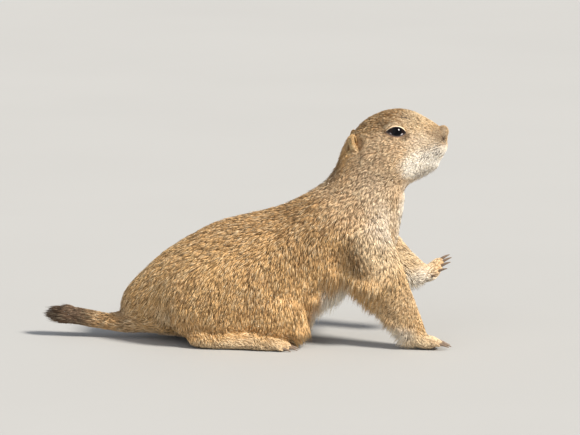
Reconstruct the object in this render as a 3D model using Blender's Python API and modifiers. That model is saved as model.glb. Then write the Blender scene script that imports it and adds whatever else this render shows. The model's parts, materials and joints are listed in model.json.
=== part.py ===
"""Prairie dog, life size, as a still museum model crouching at its burrow.

The animal faces +X with its tail along -X, and Z is up. It rests on both hind
feet and the right forefoot, with the left forefoot lifted, as if against a bank.
Every solid reaches out to the tips of the coat. The body is modelled as a few
whole masses, which are then parted with thin cuts where its parts have names.
"""

import math
from typing import NamedTuple

import bmesh
import bpy
from mathutils import Matrix, Vector
from mathutils.bvhtree import BVHTree

MM = 0.001
GAP = 0.3  # mm left between touching parts
RIGHT, LEFT = -1, 1  # sides of the body along Y


class Section(NamedTuple):
    """An upright cut through the body's middle: its top and bottom point and half its width, in mm."""

    top_x: float
    top_z: float
    bottom_x: float
    bottom_z: float
    half_width: float
    egg: float = 0.0  # how much narrower it is above its middle than below


class Joint(NamedTuple):
    """A point along a limb and the limb's half thickness there, in mm."""

    x: float
    y: float
    z: float
    half_height: float
    half_width: float


TRUNK = {
    "rump end": Section(-88, 25.5, -84, 13, 7),
    "rump": Section(-81.5, 36.5, -74.5, 6, 17),
    "croup": Section(-69.5, 48.5, -61.5, 3, 27),
    "hip": Section(-56.5, 60, -46.5, 2, 35),
    "haunch": Section(-41.5, 69.5, -30.5, 2, 39.5),
    "loin": Section(-24, 79, -13, 2, 41.5),
    "belly": Section(-2, 85.5, 7, 2.5, 42),
    "flank": Section(19, 90.5, 33, 4.5, 40.5),
    "ribs": Section(37.5, 99, 50, 22, 37.5),
    "withers": Section(52, 107.5, 68.5, 37.5, 34.5),
    "shoulders": Section(57.5, 114, 87.5, 49, 31),
    "neck base": Section(61, 121, 100, 65.5, 27),
    "neck": Section(64, 130.5, 103, 82.5, 25),
    "nape": Section(69, 140, 106, 94.5, 24.5),
    "skull base": Section(78.5, 144, 106, 103, 21.5),
    "inside skull": Section(89, 139.5, 103, 114, 14),
}

HEAD = {
    "back": Section(69.5, 133.5, 79.5, 110, 17.5, 0.05),
    "occiput": Section(73.5, 144, 86.5, 104, 23.5, 0.1),
    "ears": Section(80.5, 151, 92, 100.5, 24.5, 0.16),
    "cheeks": Section(89, 155.8, 99, 102, 25.8, 0.2),
    "eyes": Section(99.5, 158.4, 106.5, 106.3, 24, 0.2),
    "brow": Section(109.5, 157.4, 113, 111, 20.3, 0.18),
    "muzzle root": Section(117.5, 153.8, 119.3, 115.2, 16.4, 0.14),
    "muzzle": Section(124.5, 149.8, 124.8, 119, 13.2, 0.1),
    "whisker pad": Section(129.4, 146.2, 129, 122.6, 10.9, 0.08),
    "lips": Section(132.3, 143, 131.8, 125.8, 8.6, 0.05),
    "nose": Section(133.9, 140.5, 133.6, 129, 6),
    "nose tip": Section(134.8, 137.5, 134.8, 132, 3),
}

FORELEGS = {
    RIGHT: (
        Joint(75, -25, 79.5, 20, 13),
        Joint(84, -29.5, 60, 18.5, 13.5),
        Joint(96, -32, 41, 14.5, 12),
        Joint(106.5, -32.5, 24.5, 10.5, 10),
        Joint(113.5, -32, 11.5, 7.5, 7.2),
        Joint(117.5, -32, 5.5, 5.8, 6.5),
    ),
    LEFT: (
        Joint(70, 24, 84, 20, 13),
        Joint(83, 27, 66, 16.5, 12.5),
        Joint(97, 27, 54, 12.5, 11),
        Joint(107.5, 24, 47, 9.2, 9),
        Joint(115.5, 22, 42.5, 7.2, 7.2),
        Joint(119.7, 21.5, 40.7, 6, 6.5),
    ),
}

TAIL = (
    Joint(-62, 0, 18.5, 15, 16),
    Joint(-73, 0, 14, 11.5, 13.5),
    Joint(-84, 0, 11, 8.2, 9.5),
    Joint(-96, 0.5, 10.8, 6.2, 8),
    Joint(-112, 1.5, 13.5, 6.2, 8),
    Joint(-123, 2.4, 14.8, 4.6, 5.6),
    Joint(-131, 3, 15, 3, 3.4),
    Joint(-137, 3.4, 14.8, 1.4, 1.6),
)

THIGH_CENTRE, THIGH_RADII, THIGH_TILT = (-17, 31, 35), (41, 17, 31), 14
KNEE_CENTRE, KNEE_RADII, KNEE_TILT = (20, 31.5, 21.5), (21, 14, 20), 25

HINDFOOT = (
    Joint(-33, 36.6, 8.4, 7, 5.2),
    Joint(-26, 37.5, 6.6, 6.7, 7),
    Joint(-4, 39, 5.4, 5.6, 7.4),
    Joint(16, 40, 4.4, 4.7, 8.4),
    Joint(23, 40.4, 3.6, 3.9, 8.2),
)
HEEL_CENTRE, HEEL_RADII = (-33, 36.6, 8.2), (6.5, 5.8, 7.8)
BED_ROOM = 0.7
HIND_REACHES = (7.5, 12.5, 14, 13, 9)  # of the toes, from the inner one outwards

WALKING_HAND = {"heading": (1, 0, -0.2), "across": (0, -1, 0)}
LIFTED_HAND = {"heading": (0.84, -0.06, 0.54), "across": (0, 0.88, 0.44)}
FORE_REACHES = (10.5, 13.2, 14, 12.6)
THUMB_REACH = 5.5
FORE_LANE, HIND_LANE = 4.0, 3.9  # between neighbouring toe tips
FORE_CLAW, HIND_CLAW, CLAW_RADIUS = 6.2, 5.6, 1.05

HEAD_FORMS = {
    "cheek": ((88, 13.5, 120), (13, 12, 15), 20),
    "brow": ((98, 12, 150.4), (10, 6.6, 3.4), -4),
    "whisker pad": ((126, 6, 132.5), (8.2, 6.2, 8.2), -10),
    "upper lip": ((128.6, 4.2, 129.6), (6.2, 5, 4.6), 30),
}
HEAD_YAWS = {"brow": -14, "whisker pad": -16, "upper lip": -20}
CHIN_CENTRE, CHIN_RADII, CHIN_TILT = (123.8, 0, 123.6), (7.6, 7.2, 5), 32

EYE_RADIUS = 8.0
EYE_SIGHT = (100.6, 144.8)  # X and Z of the middle of the opened lids
EYE_AXIS = (0.22, 0.9, 0.3)
EYE_STANDS_OUT = 2.3  # of the eyeball's front, past the head's surface
LID_THICKNESS = 1.1
LID_WIDTH, LID_HEIGHT = 6.9, 4.1
LID_SLOPE = 5  # degrees that the front corner of the eye hangs

EAR_PLACE = (73.4, 136.6)
EAR_AXIS = (0.4, 0.91, 0.06)
EAR_RADII = (4.6, 5.6, 7.2)  # along the axis, across it, and up
EAR_SINKS = 0.4
EAR_CUP_AHEAD, EAR_CUP_RADII = 2.8, (4.2, 4.2, 5.7)

NOSE_CENTRE, NOSE_RADII, NOSE_TILT = (130.4, 0, 141.2), (4.2, 5.2, 6), 28
NOSTRIL_CENTRE, NOSTRIL_RADII = (131.6, 4.2, 138.8), (2.4, 1.7, 1)
NOSTRIL_TILT, NOSTRIL_YAW = 28, -38

MOUTH_LINE = ((139, 131.4), (133.4, 129.4), (128.6, 125.6), (123.5, 123.8), (119.5, 122.6))
JAW_BACK = (113.5, 112.4)

NECK_CUT, NECK_ALONG = (62, 0, 110), (0.75, 0, 0.66)
HEAD_CUT, HEAD_ALONG = (76, 0, 124), (0.7, 0, 0.55)
CHEST_CUT, CHEST_ALONG = (73, 0, 33), (1, 0, 0.44)
RIBS_CUT, RIBS_ALONG = (34, 0, 60), (1, 0, -0.1)
TAIL_CUTS = (-75, -93, -111)

LOCK_TAPER = ((0, 0.9), (0.4, 1), (0.75, 0.7), (1, 0.14))  # share of the length, of the width
# each tier of the tail's brush: root X, root radius, tip X, tip radius, locks
BRUSH_TIERS = ((-114.5, 4.4, -129, 6.2, 6), (-122, 3.6, -136, 5.4, 6), (-129, 1.6, -141.5, 3.2, 4))
BRUSH_WIDTH, BRUSH_THICKNESS = 5.6, 2
BRUSH_AXIS = (2.6, 14.9)  # Y, Z
FRINGE_REAR, FRINGE_FRONT = (37, 13, 16.5), (62, 10, 36)
FRINGE_COUNT, FRINGE_LENGTH, FRINGE_WIDTH = 6, 8.5, 6.2
FLOOR = 0.0


def clear_scene():
    for obj in list(bpy.data.objects):
        bpy.data.objects.remove(obj, do_unlink=True)


def collection(name):
    made = bpy.data.collections.new(name)
    bpy.context.scene.collection.children.link(made)
    return made


def new_object(name, mesh):
    obj = bpy.data.objects.new(name, mesh)
    bpy.context.scene.collection.objects.link(obj)
    return obj


def catmull_rom(rows, steps):
    """Rows of numbers along a smooth curve through the given rows, with steps between each two."""
    found = []
    last = len(rows) - 1
    for i in range(last):
        p0, p1, p2, p3 = (rows[min(max(k, 0), last)] for k in (i - 1, i, i + 1, i + 2))
        for s in range(steps):
            t = s / steps
            found.append(
                [
                    0.5 * (2 * b + (c - a) * t + (2 * a - 5 * b + 4 * c - d) * t * t
                           + (3 * b - a - 3 * c + d) * t ** 3)
                    for a, b, c, d in zip(p0, p1, p2, p3)
                ]
            )
    return found + [list(rows[-1])]


def skin_of_rings(name, rings):
    """A closed mesh over rings of points in mm, with a fan over each end."""
    count = len(rings[0])
    points = [p for ring in rings for p in ring]
    faces = [
        (r * count + k, r * count + (k + 1) % count,
         (r + 1) * count + (k + 1) % count, (r + 1) * count + k)
        for r in range(len(rings) - 1)
        for k in range(count)
    ]
    for ring, turned in ((0, True), (len(rings) - 1, False)):
        points.append(sum((Vector(p) for p in rings[ring]), Vector()) / count)
        fan = [(ring * count + k, ring * count + (k + 1) % count, len(points) - 1) for k in range(count)]
        faces += [f[::-1] if turned else f for f in fan]
    mesh = bpy.data.meshes.new(name)
    mesh.from_pydata([Vector(p) * MM for p in points], [], faces)
    obj = new_object(name, mesh)
    face_out(mesh)
    return obj


def face_out(mesh):
    bm = bmesh.new()
    bm.from_mesh(mesh)
    bmesh.ops.recalc_face_normals(bm, faces=bm.faces)
    bm.to_mesh(mesh)
    bm.free()


def loft(name, sections, steps=4, count=32):
    """A body through upright sections, each an egg-shaped oval."""
    rings = []
    for top_x, top_z, bottom_x, bottom_z, half_width, egg in catmull_rom(list(sections.values()), steps):
        middle = Vector(((top_x + bottom_x) / 2, 0, (top_z + bottom_z) / 2))
        rise = Vector(((top_x - bottom_x) / 2, 0, (top_z - bottom_z) / 2))
        ring = []
        for k in range(count):
            turn = 2 * math.pi * k / count
            up, out = math.cos(turn), math.sin(turn)
            ring.append(middle + rise * up + Vector((0, half_width * out * (1 - egg * up), 0)))
        rings.append(ring)
    return skin_of_rings(name, rings)


def limb(name, joints, steps=4, count=16):
    """A tube of oval section along joints, its half height measured across the tube in the upright plane."""
    rows = catmull_rom(joints, steps)
    rings = []
    for i, (x, y, z, half_height, half_width) in enumerate(rows):
        ahead = Vector(rows[min(i + 1, len(rows) - 1)][:3])
        behind = Vector(rows[max(i - 1, 0)][:3])
        along = (ahead - behind).normalized()
        side = Vector((0, 1, 0))
        side = (side - along * side.dot(along)).normalized()
        rise = along.cross(side)
        centre = Vector((x, y, z))
        rings.append(
            [
                centre + rise * half_height * math.cos(2 * math.pi * k / count)
                + side * half_width * math.sin(2 * math.pi * k / count)
                for k in range(count)
            ]
        )
    return skin_of_rings(name, rings)


def ellipsoid(name, centre, radii, tilt=0.0, segments=32, grow=0.0, yaw=0.0):
    """A ball stretched to three radii, turned by tilt degrees nose up and by yaw degrees about Z."""
    mesh = bpy.data.meshes.new(name)
    bm = bmesh.new()
    bmesh.ops.create_uvsphere(bm, u_segments=segments, v_segments=segments // 2, radius=1)
    stretch = Matrix.Diagonal([(r + grow) * MM for r in radii] + [1])
    turn = Matrix.Rotation(math.radians(yaw), 4, "Z") @ Matrix.Rotation(math.radians(-tilt), 4, "Y")
    bm.transform(Matrix.Translation(Vector(centre) * MM) @ turn @ stretch)
    bm.to_mesh(mesh)
    bm.free()
    return new_object(name, mesh)


def sided(point, side):
    """A point on the chosen side of the body."""
    return (point[0], point[1] * side, point[2])


def mesh_as_seen(obj):
    """Applies an object's modifiers and removes them."""
    graph = bpy.context.evaluated_depsgraph_get()
    mesh = bpy.data.meshes.new_from_object(obj.evaluated_get(graph))
    obj.modifiers.clear()
    obj.data = mesh
    return obj


def joined(name, pieces):
    """One mesh object that holds all the pieces, which are removed."""
    bm = bmesh.new()
    for piece in pieces:
        bm.from_mesh(piece.data)
        bpy.data.objects.remove(piece, do_unlink=True)
    mesh = bpy.data.meshes.new(name)
    bm.to_mesh(mesh)
    bm.free()
    return new_object(name, mesh)


def fleshed(name, pieces, voxel, smoothing):
    """Fuses overlapping pieces into one surface of fine squares and softens where they meet."""
    obj = joined(name, pieces)
    remesh = obj.modifiers.new("fuse", "REMESH")
    remesh.mode = "VOXEL"
    remesh.voxel_size = voxel * MM
    smooth = obj.modifiers.new("soften", "SMOOTH")
    smooth.factor = 0.5
    smooth.iterations = smoothing
    return mesh_as_seen(obj)


def coarser(obj, triangles):
    """Reduces a fine surface to about this many triangles."""
    obj.data.calc_loop_triangles()
    reduce = obj.modifiers.new("reduce", "DECIMATE")
    reduce.ratio = min(1.0, triangles / len(obj.data.loop_triangles))
    reduce.use_collapse_triangulate = True
    return mesh_as_seen(obj)


def keep_largest(obj):
    """Drops all but the largest closed surface."""
    bm = bmesh.new()
    bm.from_mesh(obj.data)
    bm.verts.ensure_lookup_table()
    seen, groups = set(), []
    for start in bm.verts:
        if start in seen:
            continue
        group, queue = [], [start]
        seen.add(start)
        while queue:
            vertex = queue.pop()
            group.append(vertex)
            for edge in vertex.link_edges:
                other = edge.other_vert(vertex)
                if other not in seen:
                    seen.add(other)
                    queue.append(other)
        groups.append(group)
    groups.sort(key=spread)
    for group in groups[:-1]:
        bmesh.ops.delete(bm, geom=group, context="VERTS")
    bm.to_mesh(obj.data)
    bm.free()
    return obj


def spread(group):
    """The diagonal of a group of vertices."""
    low = [min(v.co[a] for v in group) for a in range(3)]
    high = [max(v.co[a] for v in group) for a in range(3)]
    return (Vector(high) - Vector(low)).length


def boolean(obj, cutters, operation):
    """Applies a Boolean of obj with all the cutters, which are removed."""
    group = bpy.data.collections.new("cutters")
    for cutter in cutters:
        group.objects.link(cutter)
    step = obj.modifiers.new("boolean", "BOOLEAN")
    step.operand_type = "COLLECTION"
    step.collection = group
    step.operation = operation
    step.solver = "EXACT"
    mesh_as_seen(obj)
    for cutter in list(group.objects):
        bpy.data.objects.remove(cutter, do_unlink=True)
    bpy.data.collections.remove(group)
    return keep_largest(obj)


def copy_of(obj, name):
    made = obj.copy()
    made.data = obj.data.copy()
    made.name = name
    bpy.context.scene.collection.objects.link(made)
    return made


def half_space(name, point, along, grow=0.0):
    """A block whose near face passes through point, and that fills what lies ahead of it."""
    reach = 400
    mesh = bpy.data.meshes.new(name)
    bm = bmesh.new()
    bmesh.ops.create_cube(bm, size=reach * MM)
    turn = Vector(along).normalized().to_track_quat("X", "Z").to_matrix().to_4x4()
    place = Vector(point) * MM + Vector(along).normalized() * (reach / 2 - grow) * MM
    bm.transform(Matrix.Translation(place) @ turn)
    bm.to_mesh(mesh)
    bm.free()
    return new_object(name, mesh)


def split(obj, name, cutter):
    """Parts what lies inside the cutter from obj, with a gap between. cutter(grow) makes the cutter."""
    piece = boolean(copy_of(obj, name), [cutter(0.0)], "INTERSECT")
    boolean(obj, [cutter(GAP)], "DIFFERENCE")
    return piece


def split_ahead(obj, name, point, along):
    return split(obj, name, lambda grow: half_space("plane", point, along, grow))


def claw(name, toe, grow=0.0):
    """A curved, tapered claw that leaves its toe's end and bends towards the sole."""
    ahead = toe.tip - toe.knuckle
    ahead.z = max(ahead.z, -0.12 * ahead.length)
    ahead.normalize()
    down = ahead.cross(toe.across).normalized()
    if down.z > 0:
        down = -down
    root = toe.tip + ahead * toe.tip_radius * 0.55 - down * 0.25
    rows = []
    for share, thick in ((-0.35, 0.9), (0.0, 1.0), (0.4, 0.82), (0.75, 0.5), (1.0, 0.16)):
        place = root + ahead * toe.claw_length * share
        place += down * 0.2 * toe.claw_length * max(share, 0) ** 2
        radius = CLAW_RADIUS * thick + grow
        rows.append(Joint(*place, radius * 1.15, radius * 0.8))
    return limb(name, rows, steps=1, count=6)


class Toe(NamedTuple):
    """A toe's knuckle and tip, its thickness there, its claw's length, and the way across it, in mm."""

    knuckle: Vector
    tip: Vector
    knuckle_radius: float
    tip_radius: float
    claw_length: float
    across: Vector


def forefoot_toes(wrist, ahead, across):
    """Four toes in a fan from the wrist, the inner one first, and a short thumb."""
    toes = []
    for k, reach in enumerate(FORE_REACHES):
        lane = k - (len(FORE_REACHES) - 1) / 2
        knuckle = wrist + ahead * reach * 0.5 + across * lane * FORE_LANE * 0.82
        tip = wrist + ahead * reach + across * lane * FORE_LANE
        toes.append(Toe(knuckle, tip, 2.75, 2.1, FORE_CLAW, across))
    knuckle = wrist + ahead * 2 - across * 5.2
    tip = wrist + ahead * THUMB_REACH - across * 7
    toes.append(Toe(knuckle, tip, 2.1, 1.5, FORE_CLAW * 0.45, across))
    return toes


def hindfoot_toes(ball, side):
    """Five toes, the inner one first and the middle three longest."""
    across = Vector((0, side, 0))
    toes = []
    for k, reach in enumerate(HIND_REACHES):
        lane = k - (len(HIND_REACHES) - 1) / 2
        knuckle = Vector(ball) + Vector((reach * 0.35, 0, 0.2)) + across * lane * HIND_LANE * 0.8
        tip = Vector(ball) + Vector((reach, 0, -2.4)) + across * lane * HIND_LANE
        toes.append(Toe(knuckle, tip, 2.9, 2.35, HIND_CLAW, across))
    return toes


def toe_pieces(name, toes, inward):
    """A tapered tube for each toe, rooted back inside the foot."""
    pieces = []
    for k, toe in enumerate(toes):
        root = toe.knuckle + (toe.knuckle - toe.tip) * inward
        arch = (toe.knuckle + toe.tip) / 2 + Vector((0, 0, 0.6))
        rows = (
            Joint(*root, toe.knuckle_radius, toe.knuckle_radius),
            Joint(*toe.knuckle, toe.knuckle_radius, toe.knuckle_radius * 0.95),
            Joint(*arch, toe.knuckle_radius * 0.88, toe.knuckle_radius * 0.85),
            Joint(*toe.tip, toe.tip_radius, toe.tip_radius),
        )
        pieces.append(limb(f"{name}_{k}", rows, steps=3, count=12))
        pieces.append(ellipsoid(f"{name}_end_{k}", toe.tip, (toe.tip_radius * 1.05,) * 3, segments=12))
    return pieces


def claws_in(name, foot, toes):
    """Sets a claw in each toe of a foot, in a socket of its own."""
    boolean(foot, [claw("socket", toe, GAP) for toe in toes], "DIFFERENCE")
    for k, toe in enumerate(toes, start=1):
        finish(claw(f"{name}_claw_{k}", toe), "claw")


def lock(root, tip, width, thickness, sideways, bend):
    """A flat, tapered lock of hair from its root, sunk in the flesh, to its thin tip."""
    root, tip = Vector(root), Vector(tip)
    along = (tip - root).normalized()
    side = (Vector(sideways) - along * Vector(sideways).dot(along)).normalized()
    face = along.cross(side)
    rings = []
    for share, wide in LOCK_TAPER:
        centre = root.lerp(tip, share) + face * bend * math.sin(math.pi * share)
        across = side * width * wide / 2
        through = face * thickness * (0.3 + 0.7 * wide) / 2
        rings.append([centre + across, centre + through, centre - across, centre - through])
    return skin_of_rings("lock", rings)


def brush(tail_tip):
    """The tail's bushy end: tiers of locks that lie back over its core and over one another."""
    locks = []
    for tier, (root_x, root_radius, tip_x, tip_radius, count) in enumerate(BRUSH_TIERS):
        for k in range(count):
            turn = 2 * math.pi * (k + tier / 2) / count
            out = Vector((0, math.sin(turn), math.cos(turn)))
            longer = 1.6 * ((k + tier) % 3 - 1)
            root = Vector((root_x, *BRUSH_AXIS)) + out * root_radius
            tip = Vector((tip_x - longer, *BRUSH_AXIS)) + out * tip_radius
            sideways = out.cross(Vector((1, 0, 0)))
            locks.append(lock(root, tip, BRUSH_WIDTH, BRUSH_THICKNESS, sideways, -0.7))
    return boolean(tail_tip, locks, "UNION")


def fringe(ribs):
    """Long pale hairs that hang in locks from the edge of the belly, behind the elbows."""
    locks = []
    for k in range(FRINGE_COUNT):
        share = k / (FRINGE_COUNT - 1)
        start = Vector(FRINGE_REAR).lerp(Vector(FRINGE_FRONT), share)
        length = FRINGE_LENGTH * (1 + 0.14 * (k % 2) - 0.2 * abs(2 * share - 1))
        for side in (RIGHT, LEFT):
            root = Vector(sided(start + Vector((0, 2 * (k % 2), 3.5)), side))
            hang = Vector((1.5 - 3.5 * share, 0.8 * side, -length - 3.5))
            along_edge = (0.85, 0.25 * side, 0.5)
            locks.append(lock(root, root + hang, FRINGE_WIDTH, 2, along_edge, 0.8 * side))
    return boolean(ribs, locks, "UNION")


def on_floor(obj):
    """Shaves the sole flat at floor level."""
    boolean(obj, [half_space("floor", (0, 0, FLOOR), (0, 0, -1))], "DIFFERENCE")
    return obj


def frame_along(axis, up=(0, 0, 1)):
    """A turn whose first column is the axis, and whose third is as near up as it can be."""
    first = Vector(axis).normalized()
    second = Vector(up).cross(first).normalized()
    return Matrix((first, second, first.cross(second))).transposed()


def oriented_ball(name, centre, axis, radii, up=(0, 0, 1), grow=0.0, segments=24):
    """A ball stretched along an axis, across it, and up."""
    mesh = bpy.data.meshes.new(name)
    bm = bmesh.new()
    bmesh.ops.create_uvsphere(bm, u_segments=segments, v_segments=segments // 2, radius=1)
    stretch = Matrix.Diagonal([(r + grow) * MM for r in radii] + [1])
    bm.transform(Matrix.Translation(Vector(centre) * MM) @ frame_along(axis, up).to_4x4() @ stretch)
    bm.to_mesh(mesh)
    bm.free()
    return new_object(name, mesh)


def tree_of(obj):
    mesh = obj.data
    return BVHTree.FromPolygons([v.co for v in mesh.vertices], [p.vertices for p in mesh.polygons])


def hit(surface, x, z, side):
    """The point in mm of a surface straight in from one side."""
    start = Vector((x, side * 80, z)) * MM
    point, _, _, _ = surface.ray_cast(start, Vector((0, -side, 0)))
    return point / MM


def eye_socket(surface, side):
    """The eyeball's centre and the turn that carries its own axes to the head's."""
    axis = Vector(sided(EYE_AXIS, side)).normalized()
    place = hit(surface, *EYE_SIGHT, side)
    return place - axis * (EYE_RADIUS - EYE_STANDS_OUT), frame_along(axis)


def eye_ball(socket, grow):
    centre, turn = socket
    return oriented_ball("eye", centre, turn.col[0], (EYE_RADIUS,) * 3, grow=grow, segments=18)


def eyelids(socket):
    """A thin cap over the eyeball with an almond opening."""
    centre, turn = socket
    lids = eye_ball(socket, LID_THICKNESS + GAP)
    slope = math.radians(LID_SLOPE)
    forward = 1 if turn.col[1].x > 0 else -1
    rings = []
    for depth in (2.0, 14.0):
        ring = []
        for k in range(18):
            turned = 2 * math.pi * k / 18
            along = LID_WIDTH * math.cos(turned)
            rise = LID_HEIGHT * math.sin(turned) * (1 - 0.42 * abs(math.cos(turned)) ** 2.5)
            across = along * math.cos(slope) + rise * math.sin(slope)
            up = rise * math.cos(slope) - along * math.sin(slope)
            ring.append(centre + turn @ Vector((depth, forward * across, up)))
        rings.append(ring)
    opening = skin_of_rings("opening", rings)
    behind = half_space("behind", centre + turn.col[0] * 1.5, -turn.col[0])
    return boolean(lids, [eye_ball(socket, GAP), opening, behind], "DIFFERENCE")


def jaw_cut(grow):
    """A block whose top follows the mouth's line and whose back crosses the chin."""
    line = [Vector(p) for p in catmull_rom(MOUTH_LINE, 2)] + [Vector(JAW_BACK)]
    edge = []
    for k, point in enumerate(line):
        heading = (line[min(k + 1, len(line) - 1)] - line[max(k - 1, 0)]).normalized()
        edge.append(point + Vector((heading.y, -heading.x)) * grow)
    edge.append(edge[-1] + Vector((-2, -22)))
    edge.append(Vector((edge[0].x, edge[-1].y)))
    return skin_of_rings("jaw", [[Vector((p.x, y, p.y)) for p in edge] for y in (-40, 40)])


TRUNK_TRIANGLES, HEAD_TRIANGLES = 2050, 1900
FOREFOOT_TRIANGLES, HINDFOOT_TRIANGLES = 430, 330

PART_COLOURS = {
    "eye": "eye",
    "nose": "nose",
    "lower_jaw": "pale coat",
    "forefoot": "pale coat",
    "hindfoot": "pale coat",
    "tail": "tail coat",
    "tail_tip": "dark coat",
}
COLOURS = {
    "coat": ((0.50, 0.33, 0.17), 0.8),
    "pale coat": ((0.74, 0.62, 0.44), 0.8),
    "tail coat": ((0.42, 0.24, 0.10), 0.8),
    "dark coat": ((0.10, 0.06, 0.04), 0.8),
    "eye": ((0.01, 0.008, 0.007), 0.08),
    "claw": ((0.07, 0.05, 0.04), 0.4),
    "nose": ((0.30, 0.23, 0.17), 0.5),
}


def material(name):
    found = bpy.data.materials.get(name)
    if found:
        return found
    made = bpy.data.materials.new(name)
    made.use_nodes = True
    shader = made.node_tree.nodes["Principled BSDF"]
    colour, roughness = COLOURS[name]
    shader.inputs["Base Color"].default_value = (*colour, 1)
    shader.inputs["Roughness"].default_value = roughness
    shader.inputs["Metallic"].default_value = 0.0
    return made


def finish(obj, colour):
    """Gives a finished part its material, smooth shading and its place among the parts."""
    obj.data.materials.clear()
    obj.data.materials.append(material(colour))
    obj.data.shade_smooth()
    obj.data.set_sharp_from_angle(angle=math.radians(50))
    for group in list(obj.users_collection):
        group.objects.unlink(obj)
    PARTS.objects.link(obj)
    return obj


def build_trunk():
    """Torso, neck, thighs, arms and tail as one soft mass."""
    pieces = [loft("trunk", TRUNK), limb("tail", TAIL, steps=4, count=24)]
    for side in (RIGHT, LEFT):
        pieces.append(ellipsoid("thigh", sided(THIGH_CENTRE, side), THIGH_RADII, THIGH_TILT))
        pieces.append(ellipsoid("knee", sided(KNEE_CENTRE, side), KNEE_RADII, KNEE_TILT))
        pieces.append(limb("arm", FORELEGS[side], count=24))
    pieces.append(loft("head", HEAD))
    return coarser(fleshed("torso", pieces, 1.4, 16), TRUNK_TRIANGLES)


def arm_cut(side):
    """A cutter round the shoulder and upper arm of one side."""
    return lambda grow: ellipsoid("cut", sided((86, 41, 57), side), (25, 21, 36), -36, 16, grow)


def thigh_cut(side):
    return lambda grow: ellipsoid("cut", sided((-6, 46, 29), side), (49, 21, 38), 10, 18, grow)


def elbow_cut(side):
    """A cutter that holds a forearm from the elbow down, and nothing of the chest."""
    joints = FORELEGS[side]
    elbow = Vector(joints[2][:3]).lerp(Vector(joints[3][:3]), 0.2)
    along = Vector(joints[3][:3]) - Vector(joints[2][:3])

    def cutter(grow):
        fence = ellipsoid("fence", joints[4][:3], (34, 15, 30), 0, 16, grow)
        return boolean(fence, [half_space("elbow", elbow, along, grow)], "INTERSECT")

    return cutter


def wrist_of(side):
    """A point in the wrist and the way from it to the hand."""
    joints = FORELEGS[side]
    return joints[4][:3], Vector(joints[5][:3]) - Vector(joints[3][:3])


def part_trunk(trunk):
    """Parts the limbs, the neck, the chest, the ribs and the tail from the torso."""
    parts = {"torso": trunk}
    for side, word in ((RIGHT, "right"), (LEFT, "left")):
        forearm = split(trunk, f"forearm_{word}", elbow_cut(side))
        boolean(forearm, [half_space("wrist", *wrist_of(side), GAP)], "DIFFERENCE")
        parts[forearm.name] = forearm
        for name, cut in ((f"upper_arm_{word}", arm_cut(side)), (f"thigh_{word}", thigh_cut(side))):
            parts[name] = split(trunk, name, cut)
    boolean(trunk, [half_space("head", HEAD_CUT, HEAD_ALONG, GAP)], "DIFFERENCE")
    parts["neck"] = split_ahead(trunk, "neck", NECK_CUT, NECK_ALONG)
    parts["chest"] = split_ahead(trunk, "chest", CHEST_CUT, CHEST_ALONG)
    parts["ribs"] = split_ahead(trunk, "ribs", RIBS_CUT, RIBS_ALONG)
    rest = trunk
    for name, x in zip(("tail_base", "tail_middle", "tail_tip"), TAIL_CUTS):
        parts[name] = rest = split_ahead(rest, name, (x, 0, 15), (-1, 0, 0))
    brush(parts["tail_tip"])
    fringe(parts["ribs"])
    return parts


def build_forefoot(side, word):
    """A forefoot with its toes and claws, cut to meet the forearm at the wrist."""
    joints = FORELEGS[side]
    hand = WALKING_HAND if side == RIGHT else LIFTED_HAND
    ahead = Vector(hand["heading"]).normalized()
    across = Vector(hand["across"]).normalized()
    wrist = Vector(joints[5][:3])
    palm = oriented_ball("palm", wrist + ahead * 3.6, across.cross(ahead), (4.6, 8.4, 7.2), across)
    pieces = [limb("arm_end", joints[3:], steps=4, count=20), palm]
    toes = forefoot_toes(wrist - across.cross(ahead) * side, ahead, across)
    pieces += toe_pieces("toe", toes, 0.9)
    foot = coarser(fleshed(f"forefoot_{word}", pieces, 0.55, 4), FOREFOOT_TRIANGLES)
    boolean(foot, [half_space("wrist", *wrist_of(side))], "INTERSECT")
    if side == RIGHT:
        on_floor(foot)
    claws_in(f"forefoot_{word}", foot, toes)
    return foot


def hindfoot_pieces(side, grow=0.0):
    joints = [Joint(x, y * side, z, h + grow, w + grow) for x, y, z, h, w in HINDFOOT]
    toes = [toe._replace(knuckle_radius=toe.knuckle_radius + grow, tip_radius=toe.tip_radius + grow)
            for toe in hindfoot_toes(joints[-2][:3], side)]
    heel = ellipsoid("heel", sided(HEEL_CENTRE, side), HEEL_RADII, grow=grow)
    return [heel, limb("sole", joints, steps=4, count=20)] + toe_pieces("toe", toes, 0.8)


def build_hindfoot(side, word):
    """A long, flat hind foot with its toes and claws, under the thigh."""
    foot = fleshed(f"hindfoot_{word}", hindfoot_pieces(side), 0.7, 4)
    on_floor(coarser(foot, HINDFOOT_TRIANGLES))
    claws_in(f"hindfoot_{word}", foot, hindfoot_toes(sided(HINDFOOT[-2][:3], side), side))
    return foot


def foot_bed(side):
    """The room that a hind foot takes under the thigh and belly."""
    return coarser(fleshed("bed", hindfoot_pieces(side, BED_ROOM), 0.8, 0), 700)


def build_head():
    """The head with its cheeks, brows, whisker pads and chin, and the neck that it grows from."""
    pieces = [loft("head", HEAD, steps=5, count=40), loft("neck", TRUNK)]
    for side in (RIGHT, LEFT):
        for name, (centre, radii, tilt) in HEAD_FORMS.items():
            yaw = HEAD_YAWS.get(name, 0) * -side
            pieces.append(ellipsoid(name, sided(centre, side), radii, tilt, yaw=yaw))
    pieces.append(ellipsoid("chin", CHIN_CENTRE, CHIN_RADII, CHIN_TILT))
    head = coarser(fleshed("head", pieces, 0.8, 7), HEAD_TRIANGLES * 2)
    boolean(head, [half_space("head", HEAD_CUT, HEAD_ALONG)], "INTERSECT")
    return coarser(head, HEAD_TRIANGLES)


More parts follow.
